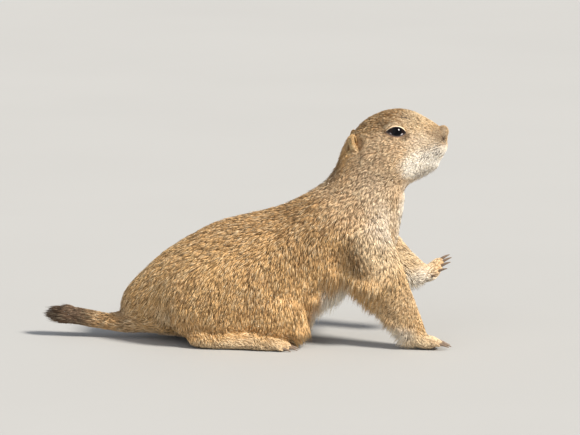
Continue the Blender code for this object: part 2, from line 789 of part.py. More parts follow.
def build_face(head, neck):
    """Eyes, lids, ears, nose, nostrils, mouth and lower jaw, each let into the head."""
    parts = {}
    surface = tree_of(head)
    for side, word in ((RIGHT, "right"), (LEFT, "left")):
        socket = eye_socket(surface, side)
        parts[f"eye_{word}"] = eye_ball(socket, 0.0)
        parts[f"eyelids_{word}"] = eyelids(socket)
        boolean(head, [eye_ball(socket, LID_THICKNESS + 2 * GAP)], "DIFFERENCE")
        place = hit(surface, *EAR_PLACE, side)
        axis = Vector(sided(EAR_AXIS, side)).normalized()
        centre = place - axis * EAR_SINKS
        for flesh in (head, neck):
            bed = oriented_ball("ear", centre, axis, EAR_RADII, grow=GAP, segments=16)
            boolean(flesh, [bed], "DIFFERENCE")
        shell = oriented_ball("ear", centre, axis, EAR_RADII, segments=16)
        cup = oriented_ball("cup", centre + axis * EAR_CUP_AHEAD, axis, EAR_CUP_RADII, segments=14)
        parts[f"ear_{word}"] = boolean(shell, [cup], "DIFFERENCE")
    nose = ellipsoid("nose", NOSE_CENTRE, NOSE_RADII, NOSE_TILT, 16)
    nostrils = [
        ellipsoid("nostril", sided(NOSTRIL_CENTRE, side), NOSTRIL_RADII, NOSTRIL_TILT, 10, yaw=NOSTRIL_YAW * -side)
        for side in (RIGHT, LEFT)
    ]
    parts["nose"] = boolean(nose, nostrils, "DIFFERENCE")
    boolean(head, [ellipsoid("nose", NOSE_CENTRE, NOSE_RADII, NOSE_TILT, 16, GAP)], "DIFFERENCE")
    parts["lower_jaw"] = split(head, "lower_jaw", jaw_cut)
    return parts


def centre_over_origin():
    """Slides the whole animal along the floor until the middle of its length and width is the origin."""
    corners = [v.co for obj in PARTS.objects for v in obj.data.vertices]
    for axis in (0, 1):
        middle = (min(c[axis] for c in corners) + max(c[axis] for c in corners)) / 2
        shift = Vector([-middle if a == axis else 0 for a in range(3)])
        for obj in PARTS.objects:
            obj.data.transform(Matrix.Translation(shift))


def main():
    global PARTS
    clear_scene()
    PARTS = collection("prairie dog")
    trunk = build_trunk()
    on_floor(trunk)
    parts = {}
    for side, word in ((RIGHT, "right"), (LEFT, "left")):
        parts[f"hindfoot_{word}"] = build_hindfoot(side, word)
        boolean(trunk, [foot_bed(side)], "DIFFERENCE")
        parts[f"forefoot_{word}"] = build_forefoot(side, word)
    parts |= part_trunk(trunk)
    parts["head"] = head = build_head()
    parts |= build_face(head, parts["neck"])
    for name, obj in parts.items():
        obj.name = name
        finish(obj, PART_COLOURS.get(name, PART_COLOURS.get(name.split("_")[0], "coat")))
    centre_over_origin()


if __name__ == "__main__":
    main()
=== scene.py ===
"""Dresses the life-size prairie dog: skin, coat, eyes, lids, nose, ears, whiskers, claws and studio."""

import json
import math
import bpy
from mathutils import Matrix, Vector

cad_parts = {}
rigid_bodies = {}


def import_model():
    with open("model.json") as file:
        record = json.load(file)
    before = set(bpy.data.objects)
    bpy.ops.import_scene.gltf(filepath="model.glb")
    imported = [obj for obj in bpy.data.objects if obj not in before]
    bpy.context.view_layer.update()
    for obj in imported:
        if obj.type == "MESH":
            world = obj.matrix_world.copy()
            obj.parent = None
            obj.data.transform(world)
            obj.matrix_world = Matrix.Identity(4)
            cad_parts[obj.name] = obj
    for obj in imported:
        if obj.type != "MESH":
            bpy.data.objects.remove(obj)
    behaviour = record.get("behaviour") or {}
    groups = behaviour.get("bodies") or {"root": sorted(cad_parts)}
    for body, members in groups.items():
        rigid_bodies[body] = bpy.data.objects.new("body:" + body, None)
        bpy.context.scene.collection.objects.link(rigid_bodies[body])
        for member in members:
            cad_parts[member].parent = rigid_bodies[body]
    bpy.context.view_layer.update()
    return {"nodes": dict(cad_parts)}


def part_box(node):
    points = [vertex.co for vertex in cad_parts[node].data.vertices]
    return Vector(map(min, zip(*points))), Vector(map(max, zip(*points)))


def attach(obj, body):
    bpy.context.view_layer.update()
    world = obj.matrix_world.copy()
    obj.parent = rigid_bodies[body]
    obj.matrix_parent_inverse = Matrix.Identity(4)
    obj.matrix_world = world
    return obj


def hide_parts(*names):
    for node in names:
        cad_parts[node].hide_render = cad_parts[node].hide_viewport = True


bl_info = {
    "name": "Prairie dog",
    "version": (1, 0, 0),
    "blender": (4, 5, 0),
    "location": "3D View > Sidebar > Prairie dog",
    "description": "Grows the skin, coat and face of a life-size prairie dog over its solids",
    "category": "Object",
}

from typing import NamedTuple

import bpy
import numpy as np
import openvdb
from bpy.props import FloatProperty, FloatVectorProperty, IntProperty, PointerProperty
from mathutils import Vector
from mathutils.bvhtree import BVHTree
from mathutils.kdtree import KDTree

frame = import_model()

MM = 0.001
WELD = 0.00001
PACKED_AT = np.array((2.2, -0.1, 0.0))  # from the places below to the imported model's, in mm
RIGHT, LEFT = -1, 1
SIDES = ((RIGHT, "right"), (LEFT, "left"))


class Lie(NamedTuple):
    """How the coat lies at one place of the body: sizes in mm, tufts for each square mm."""

    place: tuple
    heading: tuple
    length: float
    width: float
    height: float
    tufts: float
    lift: float = 0.0
    clump: float = 0.3


BODY_COAT = (8.8, 0.45, 1.9, 1.68)
HEAD_COAT = (4.8, 0.38, 1.0, 2.9)
FACE_COAT = (2.8, 0.3, 0.55, 4.4)
HAND_COAT = (2.6, 0.34, 0.45, 2.6)

COAT_LIES = {
    "nose": Lie((132, 3, 145), (-0.8, 0.3, 0.5), 1.1, 0.2, 0.2, 9, 0, 0.1),
    "nose bridge": Lie((128, 4, 147), (-0.85, 0.2, 0.5), 1.8, 0.26, 0.35, 6, 0, 0.1),
    "forehead": Lie((112, 8, 154), (-0.95, 0.12, 0.25), 3.6, 0.34, 0.7, 3.9),
    "crown": Lie((95, 9, 157), (-1, 0.12, 0), *HEAD_COAT),
    "back of the crown": Lie((80, 10, 150), (-0.9, 0.1, -0.4), 5.6, 0.42, 1.8, 2.4),
    "nape": Lie((63, 10, 134), (-0.6, 0.12, -0.8), 7, 0.46, 2.3, 1.9),
    "low nape": Lie((54, 10, 116), (-0.72, 0.12, -0.7), 8, 0.48, 2.1, 1.7),
    "withers": Lie((36, 12, 103), (-0.95, 0.2, -0.35), *BODY_COAT),
    "back": Lie((0, 12, 92), (-1, 0.2, -0.25), *BODY_COAT),
    "loin": Lie((-36, 12, 80), (-0.9, 0.2, -0.45), *BODY_COAT),
    "rump": Lie((-70, 10, 50), (-0.7, 0.15, -0.7), *BODY_COAT),
    "rump end": Lie((-86, 6, 27), (-0.62, 0.1, -0.75), 8, 0.5, 1.8, 1.6),
    "upper side": Lie((0, 33, 74), (-0.75, 0.1, -0.65), *BODY_COAT),
    "upper haunch": Lie((-42, 30, 60), (-0.72, 0.1, -0.7), *BODY_COAT),
    "side": Lie((-8, 45, 46), (-0.42, 0, -0.9), *BODY_COAT),
    "haunch": Lie((-50, 38, 36), (-0.48, 0, -0.88), *BODY_COAT),
    "low side": Lie((4, 46, 16), (-0.2, 0, -1), *BODY_COAT),
    "low haunch": Lie((-46, 38, 13), (-0.36, 0, -0.95), *BODY_COAT),
    "under the rump": Lie((-66, 14, 7), (-0.9, 0.1, -0.3), 8.5, 0.6, 1.6, 0.8),
    "front of the side": Lie((38, 39, 60), (-0.2, 0, -1), *BODY_COAT),
    "front low side": Lie((38, 38, 26), (-0.1, 0, -1), 9.5, 0.46, 2, 1.7, 0.05, 0.4),
    "rear of the fringe": Lie((38, 33, 7), (0.15, 0.05, -1), 9, 0.42, 2, 2.4, 0.5, 0.6),
    "fringe": Lie((47, 31, 19), (0.2, 0.05, -1), 15, 0.42, 2, 2.8, 0.5, 0.65),
    "middle of the fringe": Lie((56, 31, 34), (-0.2, 0.05, -1), 18, 0.42, 2, 2.8, 0.45, 0.65),
    "front of the fringe": Lie((65, 30, 42), (-0.25, 0.05, -1), 18, 0.42, 2, 2.6, 0.45, 0.65),
    "behind the elbow": Lie((73, 31, 44), (-0.1, 0.05, -1), 13, 0.42, 2, 2.2, 0.45, 0.6),
    "above the fringe": Lie((52, 37, 42), (-0.15, 0.05, -1), 9, 0.46, 2, 1.6, 0.02, 0.4),
    "belly": Lie((10, 12, 4), (-1, 0.12, -0.1), 9, 0.75, 1.4, 0.5),
    "belly front": Lie((56, 10, 25), (-0.6, 0.1, -0.8), 7, 0.5, 1.6, 1.1, 0.08, 0.5),
    "breast": Lie((80, 8, 44), (-0.4, 0.1, -0.9), 7, 0.5, 1.6, 1.3, 0.1, 0.5),
    "shoulder blade": Lie((50, 30, 92), (-0.5, 0.1, -0.85), *BODY_COAT),
    "shoulder": Lie((66, 39, 76), (-0.14, 0, -1), 8, 0.48, 1.7, 1.6),
    "chest side": Lie((92, 28, 84), (0.02, 0, -1), 7.6, 0.46, 1.6, 1.6),
    "chest": Lie((110, 8, 88), (0.12, 0, -1), 7.6, 0.44, 1.7, 1.9, 0.16, 0.5),
    "throat": Lie((103, 8, 108), (-0.2, 0.1, -0.95), 6.6, 0.38, 1.3, 2.3, 0.16, 0.5),
    "side of the neck": Lie((76, 30, 112), (-0.66, 0.1, -0.75), 7.2, 0.45, 1.6, 1.8, 0, 0.4),
    "jowl": Lie((90, 27, 116), (-0.8, 0.1, -0.6), 6, 0.4, 1.3, 2.3, 0.02, 0.45),
    "cheek": Lie((98, 25, 130), (-0.82, 0.1, -0.5), 4.6, 0.36, 0.9, 3.1, 0, 0.4),
    "behind the cheek": Lie((80, 25, 126), (-0.72, 0.1, -0.66), 5.4, 0.4, 1.2, 2.5, 0, 0.4),
    "before the ear": Lie((84, 23, 142), (-0.95, 0.1, -0.3), 4.2, 0.36, 0.9, 2.9),
    "ear": Lie((73, 19, 137), (-0.55, 0.3, 0.75), 2.6, 0.3, 0.4, 5),
    "above the eye": Lie((100, 19, 153), (-0.98, 0.1, 0.1), 3.2, 0.32, 0.55, 4.2),
    "under the eye": Lie((108, 21, 135), (-0.9, 0.12, -0.35), 3.4, 0.32, 0.6, 3.9),
    "before the eye": Lie((115, 16, 146), (-0.95, 0.15, 0.1), 2.8, 0.3, 0.5, 4.6),
    "muzzle": Lie((123, 13, 134), (-0.9, 0.2, -0.35), *FACE_COAT),
    "upper lip": Lie((131, 7, 130), (-0.7, 0.35, -0.6), 2.6, 0.28, 0.5, 5),
    "chin": Lie((124, 4, 119), (-0.35, 0.1, -0.9), 4.8, 0.26, 0.8, 3, 0.4, 0.55),
    "jaw": Lie((110, 14, 112), (-0.9, 0.1, -0.35), 5, 0.36, 1, 2.8, 0.1, 0.45),
    "root of the tail": Lie((-88, 7, 14), (-1, 0.1, 0.05), 8.5, 0.48, 1.8, 2.0, 0.02),
    "tail": Lie((-106, 6, 13), (-1, 0.1, 0.08), 11, 0.42, 1.9, 3.2, 0.1, 0.5),
    "dark of the tail": Lie((-122, 6, 15), (-1, 0.14, 0.05), 14, 0.4, 2.1, 4.8, 0.2, 0.55),
    "tip of the tail": Lie((-134, 3, 15), (-1, 0.1, 0.02), 11, 0.36, 1.4, 6, 0.2, 0.6),
    "thigh": Lie((-12, 46, 28), (-0.25, 0, -0.97), *BODY_COAT),
    "knee": Lie((22, 44, 24), (-0.15, 0, -1), *BODY_COAT),
    "heel": Lie((-36, 37, 10), (0.2, 0, -1), 3.6, 0.4, 0.6, 2),
    "hind foot": Lie((-4, 42, 7), (1, 0, -0.25), *HAND_COAT),
    "hind toes": Lie((27, 41, 4), (1, 0, -0.2), 1.9, 0.3, 0.35, 3.6),
}

# the forelegs are posed apart, so each has its own
RIGHT_FORELEG_LIES = {
    "upper arm": Lie((76, -43, 58), (0.08, 0, -1), 7, 0.44, 1.4, 1.8, 0, 0.35),
    "elbow": Lie((79, -37, 40), (-0.15, 0, -1), 11, 0.4, 1.5, 2.4, 0.45, 0.75),
    "outside of the forearm": Lie((100, -42, 30), (-0.55, 0, -0.82), 5, 0.38, 0.9, 2.5),
    "front of the forearm": Lie((111, -34, 28), (0.2, -0.2, -0.95), 4.2, 0.36, 0.8, 2.7),
    "back of the forearm": Lie((96, -31, 22), (-0.35, 0, -0.95), 9, 0.34, 1.1, 2.6, 0.45, 0.65),
    "back of the wrist": Lie((108, -32, 10), (-0.5, 0, -0.6), 8, 0.34, 0.8, 2.6, 0.5, 0.5),
    "wrist": Lie((116, -35, 11), (0.5, 0, -0.86), 3.6, 0.34, 0.6, 2.8),
    "hand": Lie((121, -32, 7), (0.94, 0, -0.34), *HAND_COAT),
    "fingers": Lie((130, -32, 4), (0.97, 0, -0.25), 1.9, 0.3, 0.35, 4),
}
LEFT_FORELEG_LIES = {
    "upper arm": Lie((76, 40, 66), (0.2, 0, -0.98), 7, 0.44, 1.4, 1.8, 0, 0.35),
    "elbow": Lie((88, 30, 48), (0.1, 0, -0.98), 8, 0.42, 1.5, 2.0, 0.25, 0.5),
    "outside of the forearm": Lie((106, 34, 50), (0.6, 0, -0.8), 5, 0.38, 0.9, 2.5),
    "front of the forearm": Lie((110, 22, 56), (0.85, 0, -0.5), 4.2, 0.36, 0.8, 2.7),
    "back of the forearm": Lie((106, 20, 37), (0.3, 0, -0.95), 9, 0.36, 1.1, 2.6, 0.5, 0.55),
    "wrist": Lie((118, 22, 45), (0.85, 0, 0.3), 3.4, 0.34, 0.6, 2.8),
    "hand": Lie((123, 22, 46), (0.84, -0.06, 0.54), *HAND_COAT),
    "fingers": Lie((131, 21, 50), (0.84, -0.06, 0.54), 1.9, 0.3, 0.35, 4),
}

# how far in mm the skin lies under the outside of the solids
SKIN_DEPTHS = {
    (128, 4, 146): 0.4,
    (131, 7, 130): 0.5,
    (124, 4, 119): 0.7,
    (112, 14, 134): 0.7,
    (104, 18, 145): 0.6,
    (104, 10, 156): 0.9,
    (82, 18, 148): 1.2,
    (92, 26, 120): 1.4,
    (62, 14, 130): 1.2,
    (104, 12, 95): 1.9,
    (46, 30, 92): 2.2,
    (0, 30, 80): 2.1,
    (-40, 36, 50): 2.2,
    (0, 46, 30): 2.2,
    (10, 14, 3): 1.5,
    (54, 20, 30): 2.2,
    (-84, 8, 26): 2.1,
    (-96, 5, 11): 1.9,
    (-122, 4, 15): 1.9,
    (-137, 3, 15): 1.5,
    (74, 36, 66): 1.8,
    (98, 30, 40): 1.4,
    (110, 28, 30): 1.0,
    (117, 28, 12): 0.5,
    (126, 30, 5): 0.25,
    (126, 20, 46): 0.25,
    (-34, 38, 8): 0.5,
    (0, 40, 4): 0.4,
    (26, 41, 3): 0.25,
}

# how far the joins between the limbs and the trunk melt together near each place, from 0 to 1
MELTED = {
    (74, 34, 86): 1.0,
    (60, 38, 60): 0.9,
    (84, 32, 60): 0.7,
    (0, 30, 60): 0.8,
    (-60, 20, 30): 0.8,
    (26, 44, 30): 0.6,
    (-10, 44, 16): 0.5,
    (95, 10, 85): 0.8,
    (70, 15, 115): 0.8,
    (-95, 8, 12): 0.5,
    (92, 20, 112): 0.8,
    (100, 15, 140): 0.0,
    (125, 8, 135): 0.0,
    (104, 30, 36): 0.3,
    (120, 28, 12): 0.0,
    (120, 22, 44): 0.0,
    (-30, 38, 8): 0.2,
    (20, 40, 4): 0.0,
    (-125, 5, 15): 0.3,
}

# soft hollows of the skin: place, radii and depth in mm, and swells where the depth is below nothing
HOLLOWS = (
    ((118, 14, 143), (7, 5, 4), 0.5),
    ((101, 18, 154), (9, 5, 3), -0.4),
    ((98, 26, 122), (10, 6, 9), -0.5),
    ((96, 16, 108), (14, 9, 3.4), 0.7),
    ((74.6, 16.6, 135.2), (2, 4, 2.8), 3),
    ((131.8, 4.9, 138.2), (1.8, 2.2, 1.8), 1.6),
    ((-50, 38, 25), (2.2, 9, 13), 1.6),
    ((-20, 46, 40), (14, 8, 12), -0.5),
    ((24, 44, 36), (5, 8, 10), 0.7),
)

EYE_AXIS = (0.22, 0.9, 0.3)
LID_WIDTH, LID_HEIGHT, LID_SLOPE = 5.9, 2.85, 5  # half the opening in mm, and its slope in degrees
GLEAMS = ((-4.2, -1.3, -52), (3.3, -1.75, 32))  # painted reflections at the lower corners of the eye: ahead, up and slant in degrees
# the roll of a lid's edge: mm out from the opening, and above the eyeball
LID_ROLL = (
    (-0.3, -0.2), (-0.26, 0.06), (-0.14, 0.28), (0.06, 0.42), (0.3, 0.5),
    (0.6, 0.52), (1.0, 0.46), (1.5, 0.25), (2.2, -0.25), (3.2, -1.2),
)
EAR_AXIS = (0.4, 0.91, 0.06)
EAR_MIDDLE, EAR_REACH = (-0.3, -0.8), (3.4, 6.8)  # of the visible ear, ahead and up in mm
EAR_DEEP = 7  # how far in mm from an ear's plane its fur and skin may lie
NOSE_TILT = 28
NOSE_RADII = np.array((4.3, 5.3, 6.0))
# the line of a nostril on the nose: ahead, across and up from its middle in mm, and half its width
NOSTRIL = (
    (3.2, 2.5, -2.6, 0.5), (2.2, 3.9, -2.6, 0.9), (1.2, 4.7, -1.9, 0.8), (-0.2, 5.2, -0.8, 0.45),
    (-2.2, 4.6, 0.6, 0.25),
)
MOUTH_LINE = ((139, 131.2), (133.4, 129.2), (129.6, 126.8))
MOUTH_BACK = 120  # the lips lie ahead of this, in mm
LIP_DEPTH = 0.7

BODIES = ("skin", "pinna_right", "pinna_left", "nose_pad", "lids_right", "lids_left")
SHORT_HAIR = (("pinna", 1.7, 0.16), ("lids", 1.7, 0.3))  # the longest and the thickest there, in mm
LOCK = 6  # tufts that lean together
TUFT_POINTS = 7
ROOT_DEPTH = 0.35
WHISKER_SPOT = 0.52  # the tufts this near a whisker's root are dark
BAKE_PATCH = 0.003  # the width of a tuft on the bake map
COAT_PIECES = {
    "torso": (("torso",), (-88, 0, 20), (34, 0, 60)),
    "ribs": (("ribs",), (30, 0, 45), (70, 0, 75)),
    "chest": (("chest",), (50, 0, 60), (100, 0, 90)),
    "neck": (("neck",), (56, 0, 92), (96, 0, 120)),
    "head": (("head", "lower_jaw", "nose", "eyelids", "ear", "eye"), (72, 0, 120), (138, 0, 138)),
    "foreleg": (("upper_arm", "forearm", "forefoot"), (70, 27, 84), (122, 27, 24)),
    "thigh": (("thigh",), (-50, 34, 30), (42, 34, 24)),
    "hind_foot": (("hindfoot",), (-38, 39, 6), (36, 39, 4)),
    "tail": (("tail_base", "tail_middle", "tail_tip"), (-72, 0, 14), (-142, 3, 15)),
}
PIECE_SLOTS = {"tail": "tail_coat", "hind_foot": "pale_coat"}

VOXEL = 0.7
BAND = 7  # voxels on each side of the body's surface
SWELL = 0.25  # closes the gaps between the solids
SKIN_TRIANGLES = 185000

PHOTO_WIDTH, PIXEL = 580, 0.00068  # pixels, and the size of one on the model in metres
CAMERA_TURN, CAMERA_TILT = 3, 9  # degrees
AIM_RIGHT, AIM_UP, AIM_X = 0.0289, 0.0821, 0.0016
SENSOR = 36
FLOOR_REACH = 12000
# name, direction of its light, spread in degrees and colour
LIGHTS = (
    ("key", (0.63, -0.45, 0.66), 14, (1.0, 0.95, 0.87)),
    ("fill", (-0.45, -0.8, 0.5), 70, (0.9, 0.94, 1.0)),
)


class Mark(NamedTuple):
    """A rounded patch of colour on the coat: how strong and soft it is, and its place and radii in mm."""

    colour: str
    share: float
    soft: float
    centre: tuple
    radii: tuple
    one_side: bool = False


MARKS = (
    Mark("rust", 0.6, 0.4, (0, 0, 112), (95, 46, 44)),
    Mark("deep rust", 0.45, 0.5, (40, 26, 86), (22, 30, 26)),
    # painted shade in the fold between the shoulder and the upper arm
    Mark("shoulder", 0.8, 0.5, (76, 44, 70), (9, 14, 21)),
    Mark("cream", 0.8, 0.4, (95, 38, 86), (16, 30, 32)),
    Mark("white", 0.6, 0.5, (95, 26, 90), (10, 15, 15)),
    Mark("white", 0.9, 0.3, (118, 0, 84), (18, 22, 36)),
    Mark("cream", 0.5, 0.5, (90, 30, 110), (14, 16, 9)),
    Mark("cream", 0.35, 0.4, (106, 30, 30), (14, 14, 22)),
    # the forelegs, which are posed apart
    Mark("cream", 0.85, 0.4, (106, 24, 50), (26, 16, 15), True),
    Mark("white", 0.8, 0.5, (112, 20, 40), (18, 16, 8), True),
    Mark("white", 0.7, 0.4, (99, 28, 33), (14, 16, 9), True),
    Mark("white", 0.8, 0.4, (103, -32, 12), (12, 14, 9), True),
    Mark("cream", 0.85, 0.4, (124, -32, 4), (18, 14, 10), True),
    Mark("orange", 0.6, 0.5, (80, -36, 34), (7, 12, 7), True),
    # the belly and its fringe
    Mark("white", 0.9, 0.3, (14, 0, -6), (92, 36, 17)),
    Mark("white", 0.95, 0.3, (66, 12, 26), (30, 18, 14)),
    Mark("white", 1, 0.25, (47, 30, 10), (6, 20, 14)),
    Mark("white", 1, 0.25, (51, 28, 25), (7, 20, 13)),
    Mark("white", 1, 0.25, (59, 27, 35), (8, 21, 13)),
    Mark("white", 1, 0.25, (68, 26, 42), (9, 20, 12)),
    Mark("cream", 0.7, 0.4, (0, 42, 3), (44, 16, 7)),
    # painted highlight on the haunch
    Mark("cream", 0.7, 0.5, (-55, 40, 23), (8, 14, 11)),
    # painted shade on the rear of the rump
    Mark("umber", 0.5, 0.5, (-90, 0, 34), (11, 26, 22)),
    Mark("sand", 0.5, 0.5, (-98, 0, 15), (28, 22, 18)),
    # the neck and head
    Mark("sand", 0.5, 0.5, (80, 30, 104), (24, 22, 22)),
    Mark("sand", 0.4, 0.5, (56, 8, 114), (12, 24, 11)),
    Mark("sand", 0.6, 0.35, (104, 22, 128), (30, 20, 27)),
    # painted shade on the nape behind the head
    Mark("umber", 0.75, 0.4, (60, 6, 130), (8, 19, 17)),
    Mark("deep rust", 0.9, 0.4, (84, 0, 158), (34, 22, 13)),
    Mark("deep rust", 0.8, 0.5, (96, 22, 152), (14, 10, 5)),
    Mark("cream", 0.6, 0.4, (118, 8, 152), (12, 12, 9)),
    Mark("bone", 0.7, 0.5, (124, 14, 136), (13, 12, 10)),
    Mark("white", 0.95, 0.3, (122, 10, 125), (17, 22, 9.5)),
    Mark("white", 0.9, 0.4, (132, 6, 130), (8, 12, 8)),
    Mark("cream", 0.6, 0.5, (101, 19, 151), (8, 6, 1.6)),
    Mark("umber", 0.85, 0.5, (109.3, 17, 144), (3.6, 5, 1.5)),
    Mark("dun", 0.7, 0.5, (132, 3, 143), (6.5, 7, 5.5)),
    Mark("ochre", 0.9, 0.3, (70.5, 16, 136), (3.4, 8, 7)),
    # the moult, and painted shade in the fold behind the thigh
    Mark("deep rust", 0.4, 0.6, (2, -33, 81), (11, 14, 8), True),
    Mark("deep rust", 0.35, 0.6, (8, -42, 60), (2.5, 12, 20), True),
    Mark("deep rust", 0.45, 0.6, (-11, -36, 76), (4, 12, 4), True),
    Mark("deep rust", 0.4, 0.6, (9, -44, 45), (4, 12, 3.5), True),
    # painted shade in the fold behind the thigh, not moult
    Mark("deep rust", 0.5, 0.6, (-48, -38, 25), (1.8, 12, 14), True),
    # the tail
    Mark("orange", 0.8, 0.3, (-104, 3, 13), (26, 24, 18)),
    Mark("soot", 0.92, 0.28, (-141, 3, 15), (44, 26, 26)),
)
# painted shade in and round the nostril's hollow
NOSTRIL_SHADE = Mark("soot", 0.9, 0.6, (131.6, 4.9, 138.1), (2.6, 3, 2.7))


def colour_setting(name, description, *default):
    """A colour of the panel, as red, green and blue."""
    return FloatVectorProperty(
        name=name, description=description, default=default, subtype="COLOR", min=0, max=1
    )


class CoatSettings(bpy.types.PropertyGroup):
    """The coat's growth and colours."""

    thickness: FloatProperty(
        name="Thickness", description="Tufts, as a share of the usual number", default=1.0, min=0.05, max=1.2
    )
    length: FloatProperty(
        name="Length", description="As a share of the tufts' usual length", default=1.0, min=0.5, max=1.3
    )
    seed: IntProperty(name="Seed", description="Another seed scatters the tufts anew", default=7)
    tan: colour_setting("Tan", "The coat of the sides", 0.76, 0.485, 0.215)
    rust: colour_setting("Rust", "The redder coat of the back", 0.60, 0.345, 0.145)
    straw: colour_setting("Straw", "Pale tips", 0.95, 0.80, 0.54)
    umber: colour_setting("Umber", "Dark hairs and roots", 0.13, 0.07, 0.032)
    cream: colour_setting("Cream", "Chest and forelegs", 0.86, 0.68, 0.45)
    sand: colour_setting("Sand", "Cheeks and neck", 0.77, 0.59, 0.41)
    white: colour_setting("White", "Muzzle, chin and belly", 0.95, 0.89, 0.79)
    orange: colour_setting("Orange", "The tail", 0.60, 0.35, 0.14)
    soot: colour_setting("Soot", "The end of the tail", 0.10, 0.062, 0.042)


class FaceSettings(bpy.types.PropertyGroup):
    """Eyes, nose, ears and whiskers."""

    iris: colour_setting("Iris", "Colour round the pupil", 0.007, 0.0035, 0.0025)
    nose: colour_setting("Nose", "Bare skin of the nose", 0.33, 0.245, 0.165)
    ear: colour_setting("Ear", "Ochre rim of the ear", 0.52, 0.34, 0.15)
    claw: colour_setting("Claw", "Horn of the claws", 0.16, 0.11, 0.075)
    whisker_length: FloatProperty(
        name="Whiskers", description="Longest whisker", default=0.03, min=0.01, max=0.05, subtype="DISTANCE"
    )


class StudioSettings(bpy.types.PropertyGroup):
    """Floor, lights and camera."""

    floor: colour_setting("Floor", "Colour of the floor", 0.46, 0.455, 0.44)
    key: FloatProperty(name="Key light", description="Strength of the main light", default=5.6, min=0)
    fill: FloatProperty(name="Fill light", description="Strength of the wide soft light", default=0.65, min=0)
    sky: FloatProperty(name="Sky", description="Strength of the light all round", default=0.42, min=0)
    distance: FloatProperty(
        name="Distance", description="From the camera to the animal", default=3.0, min=1, unit="LENGTH"
    )


# shapes


def placed(point):
    """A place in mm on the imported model."""
    return np.asarray(point, float) + PACKED_AT


def unit(rows):
    return rows / np.maximum(np.linalg.norm(rows, axis=-1, keepdims=True), 1e-9)


def mesh_rows(mesh):
    """Points in mm, outward directions and triangles of a mesh."""
    mesh.calc_loop_triangles()
    points, normals = np.empty(len(mesh.vertices) * 3), np.empty(len(mesh.vertices) * 3)
    mesh.vertices.foreach_get("co", points)
    mesh.vertices.foreach_get("normal", normals)
    triangles = np.empty(len(mesh.loop_triangles) * 3, int)
    mesh.loop_triangles.foreach_get("vertices", triangles)
    return points.reshape(-1, 3) / MM, normals.reshape(-1, 3), triangles.reshape(-1, 3)


def together(meshes):
    """Points in mm, outward directions and triangles of several meshes, and the mesh of each triangle."""
    parts, count = [], 0
    for owner, mesh in enumerate(meshes):
        points, normals, triangles = mesh_rows(mesh)
        parts.append((points, normals, triangles + count, np.full(len(triangles), owner)))
        count += len(points)
    return tuple(np.concatenate(rows) for rows in zip(*parts))


def solids_surface(names):
    """Points in mm, triangles and the number of each triangle's node, for these nodes together."""
    points, _, triangles, owners = together([frame["nodes"][name].data for name in names])
    return points, triangles, owners


def skin_tree():
    """The skin, to look up the nearest place on it."""
    points, _, triangles = mesh_rows(bpy.data.objects["skin"].data)
    return BVHTree.FromPolygons(points.tolist(), triangles.tolist())


def pushed_out(points, triangles, distance):
    """The points, each moved outwards by the distance, with points at one place moved alike."""
    _, same = np.unique(np.round(points, 3), axis=0, return_inverse=True)
    same = same.reshape(-1)
    a, b, c = (points[triangles[:, k]] for k in range(3))
    facing = np.cross(b - a, c - a)
    sums = np.zeros((same.max() + 1, 3))
    for k in range(3):
        np.add.at(sums, same[triangles[:, k]], facing)
    return points + unit(sums)[same] * distance


def mesh_object(name, points, faces, smooth=True):
    """An object of points in mm and faces that all have the same number of corners."""
    mesh = bpy.data.meshes.new(name)
    faces = np.asarray(faces)
    mesh.vertices.add(len(points))
    mesh.vertices.foreach_set("co", (np.asarray(points) * MM).ravel())
    mesh.loops.add(faces.size)
    mesh.loops.foreach_set("vertex_index", faces.ravel())
    mesh.polygons.add(len(faces))
    mesh.polygons.foreach_set("loop_start", np.arange(0, faces.size, faces.shape[1]))
    mesh.update(calc_edges=True)
    mesh.polygons.foreach_set("use_smooth", np.full(len(faces), smooth))
    obj = bpy.data.objects.new(name, mesh)
    bpy.context.scene.collection.objects.link(obj)
    return obj


def grid_faces(rows, columns, around=False):
    """Quads between the points of a grid, written row by row, closed round each row if asked."""
    last = columns if around else columns - 1
    faces = []
    for r in range(rows - 1):
        for c in range(last):
            d = (c + 1) % columns
            faces.append((r * columns + c, r * columns + d, (r + 1) * columns + d, (r + 1) * columns + c))
    return faces


def joined(name, objects):
    """One object of several, whose modifiers are applied."""
    graph = bpy.context.evaluated_depsgraph_get()
    points, _, triangles, _ = together([obj.evaluated_get(graph).to_mesh() for obj in objects])
    for obj in objects:
        bpy.data.objects.remove(obj, do_unlink=True)
    return mesh_object(name, points, triangles)


def round_grid(last, rings, around):
    """For a grid of rings: a value from 0 to the last, ring by ring, and the turn round each ring."""
    turns = np.arange(around) * 2 * np.pi / around
    return (part.ravel() for part in np.meshgrid(np.linspace(0, last, rings), turns, indexing="ij"))


def dressed(obj, material, slot, *nodes):
    """The object in its material, on the one body, in place of the solids that it stands for."""
    obj.data.materials.append(material)
    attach(obj, "root")
    if nodes:
        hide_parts(*nodes)


def blended(places, anchors, values, power=4.0):
    """Values at places, drawn from the anchors near each."""
    total = np.zeros((len(places), values.shape[1]), np.float32)
    weight = np.zeros((len(places), 1), np.float32)
    places = places.astype(np.float32)
    for anchor, value in zip(anchors.astype(np.float32), values.astype(np.float32)):
        share = (((places - anchor) ** 2).sum(1, keepdims=True) + 9) ** (-power / 2)
        total += share * value
        weight += share
    return total / weight


def voxel_faces(grid, level=0.0):
    """Points in mm and quads, facing out, of a grid's surface."""
    points, quads = grid.convertToQuads(level)
    a, b, c = (points[quads[:, k]] for k in (0, 1, 2))
    inwards = np.einsum("ij,ij->i", a, np.cross(b, c)).sum() < 0
    return points, quads[:, ::-1] if inwards else quads


def soft_blob(places, centre, radii):
    """1 in the middle of a rounded blob, falling smoothly to 0 outside it."""
    return np.exp(-(((places - placed(centre)) / np.array(radii)) ** 2).sum(1))


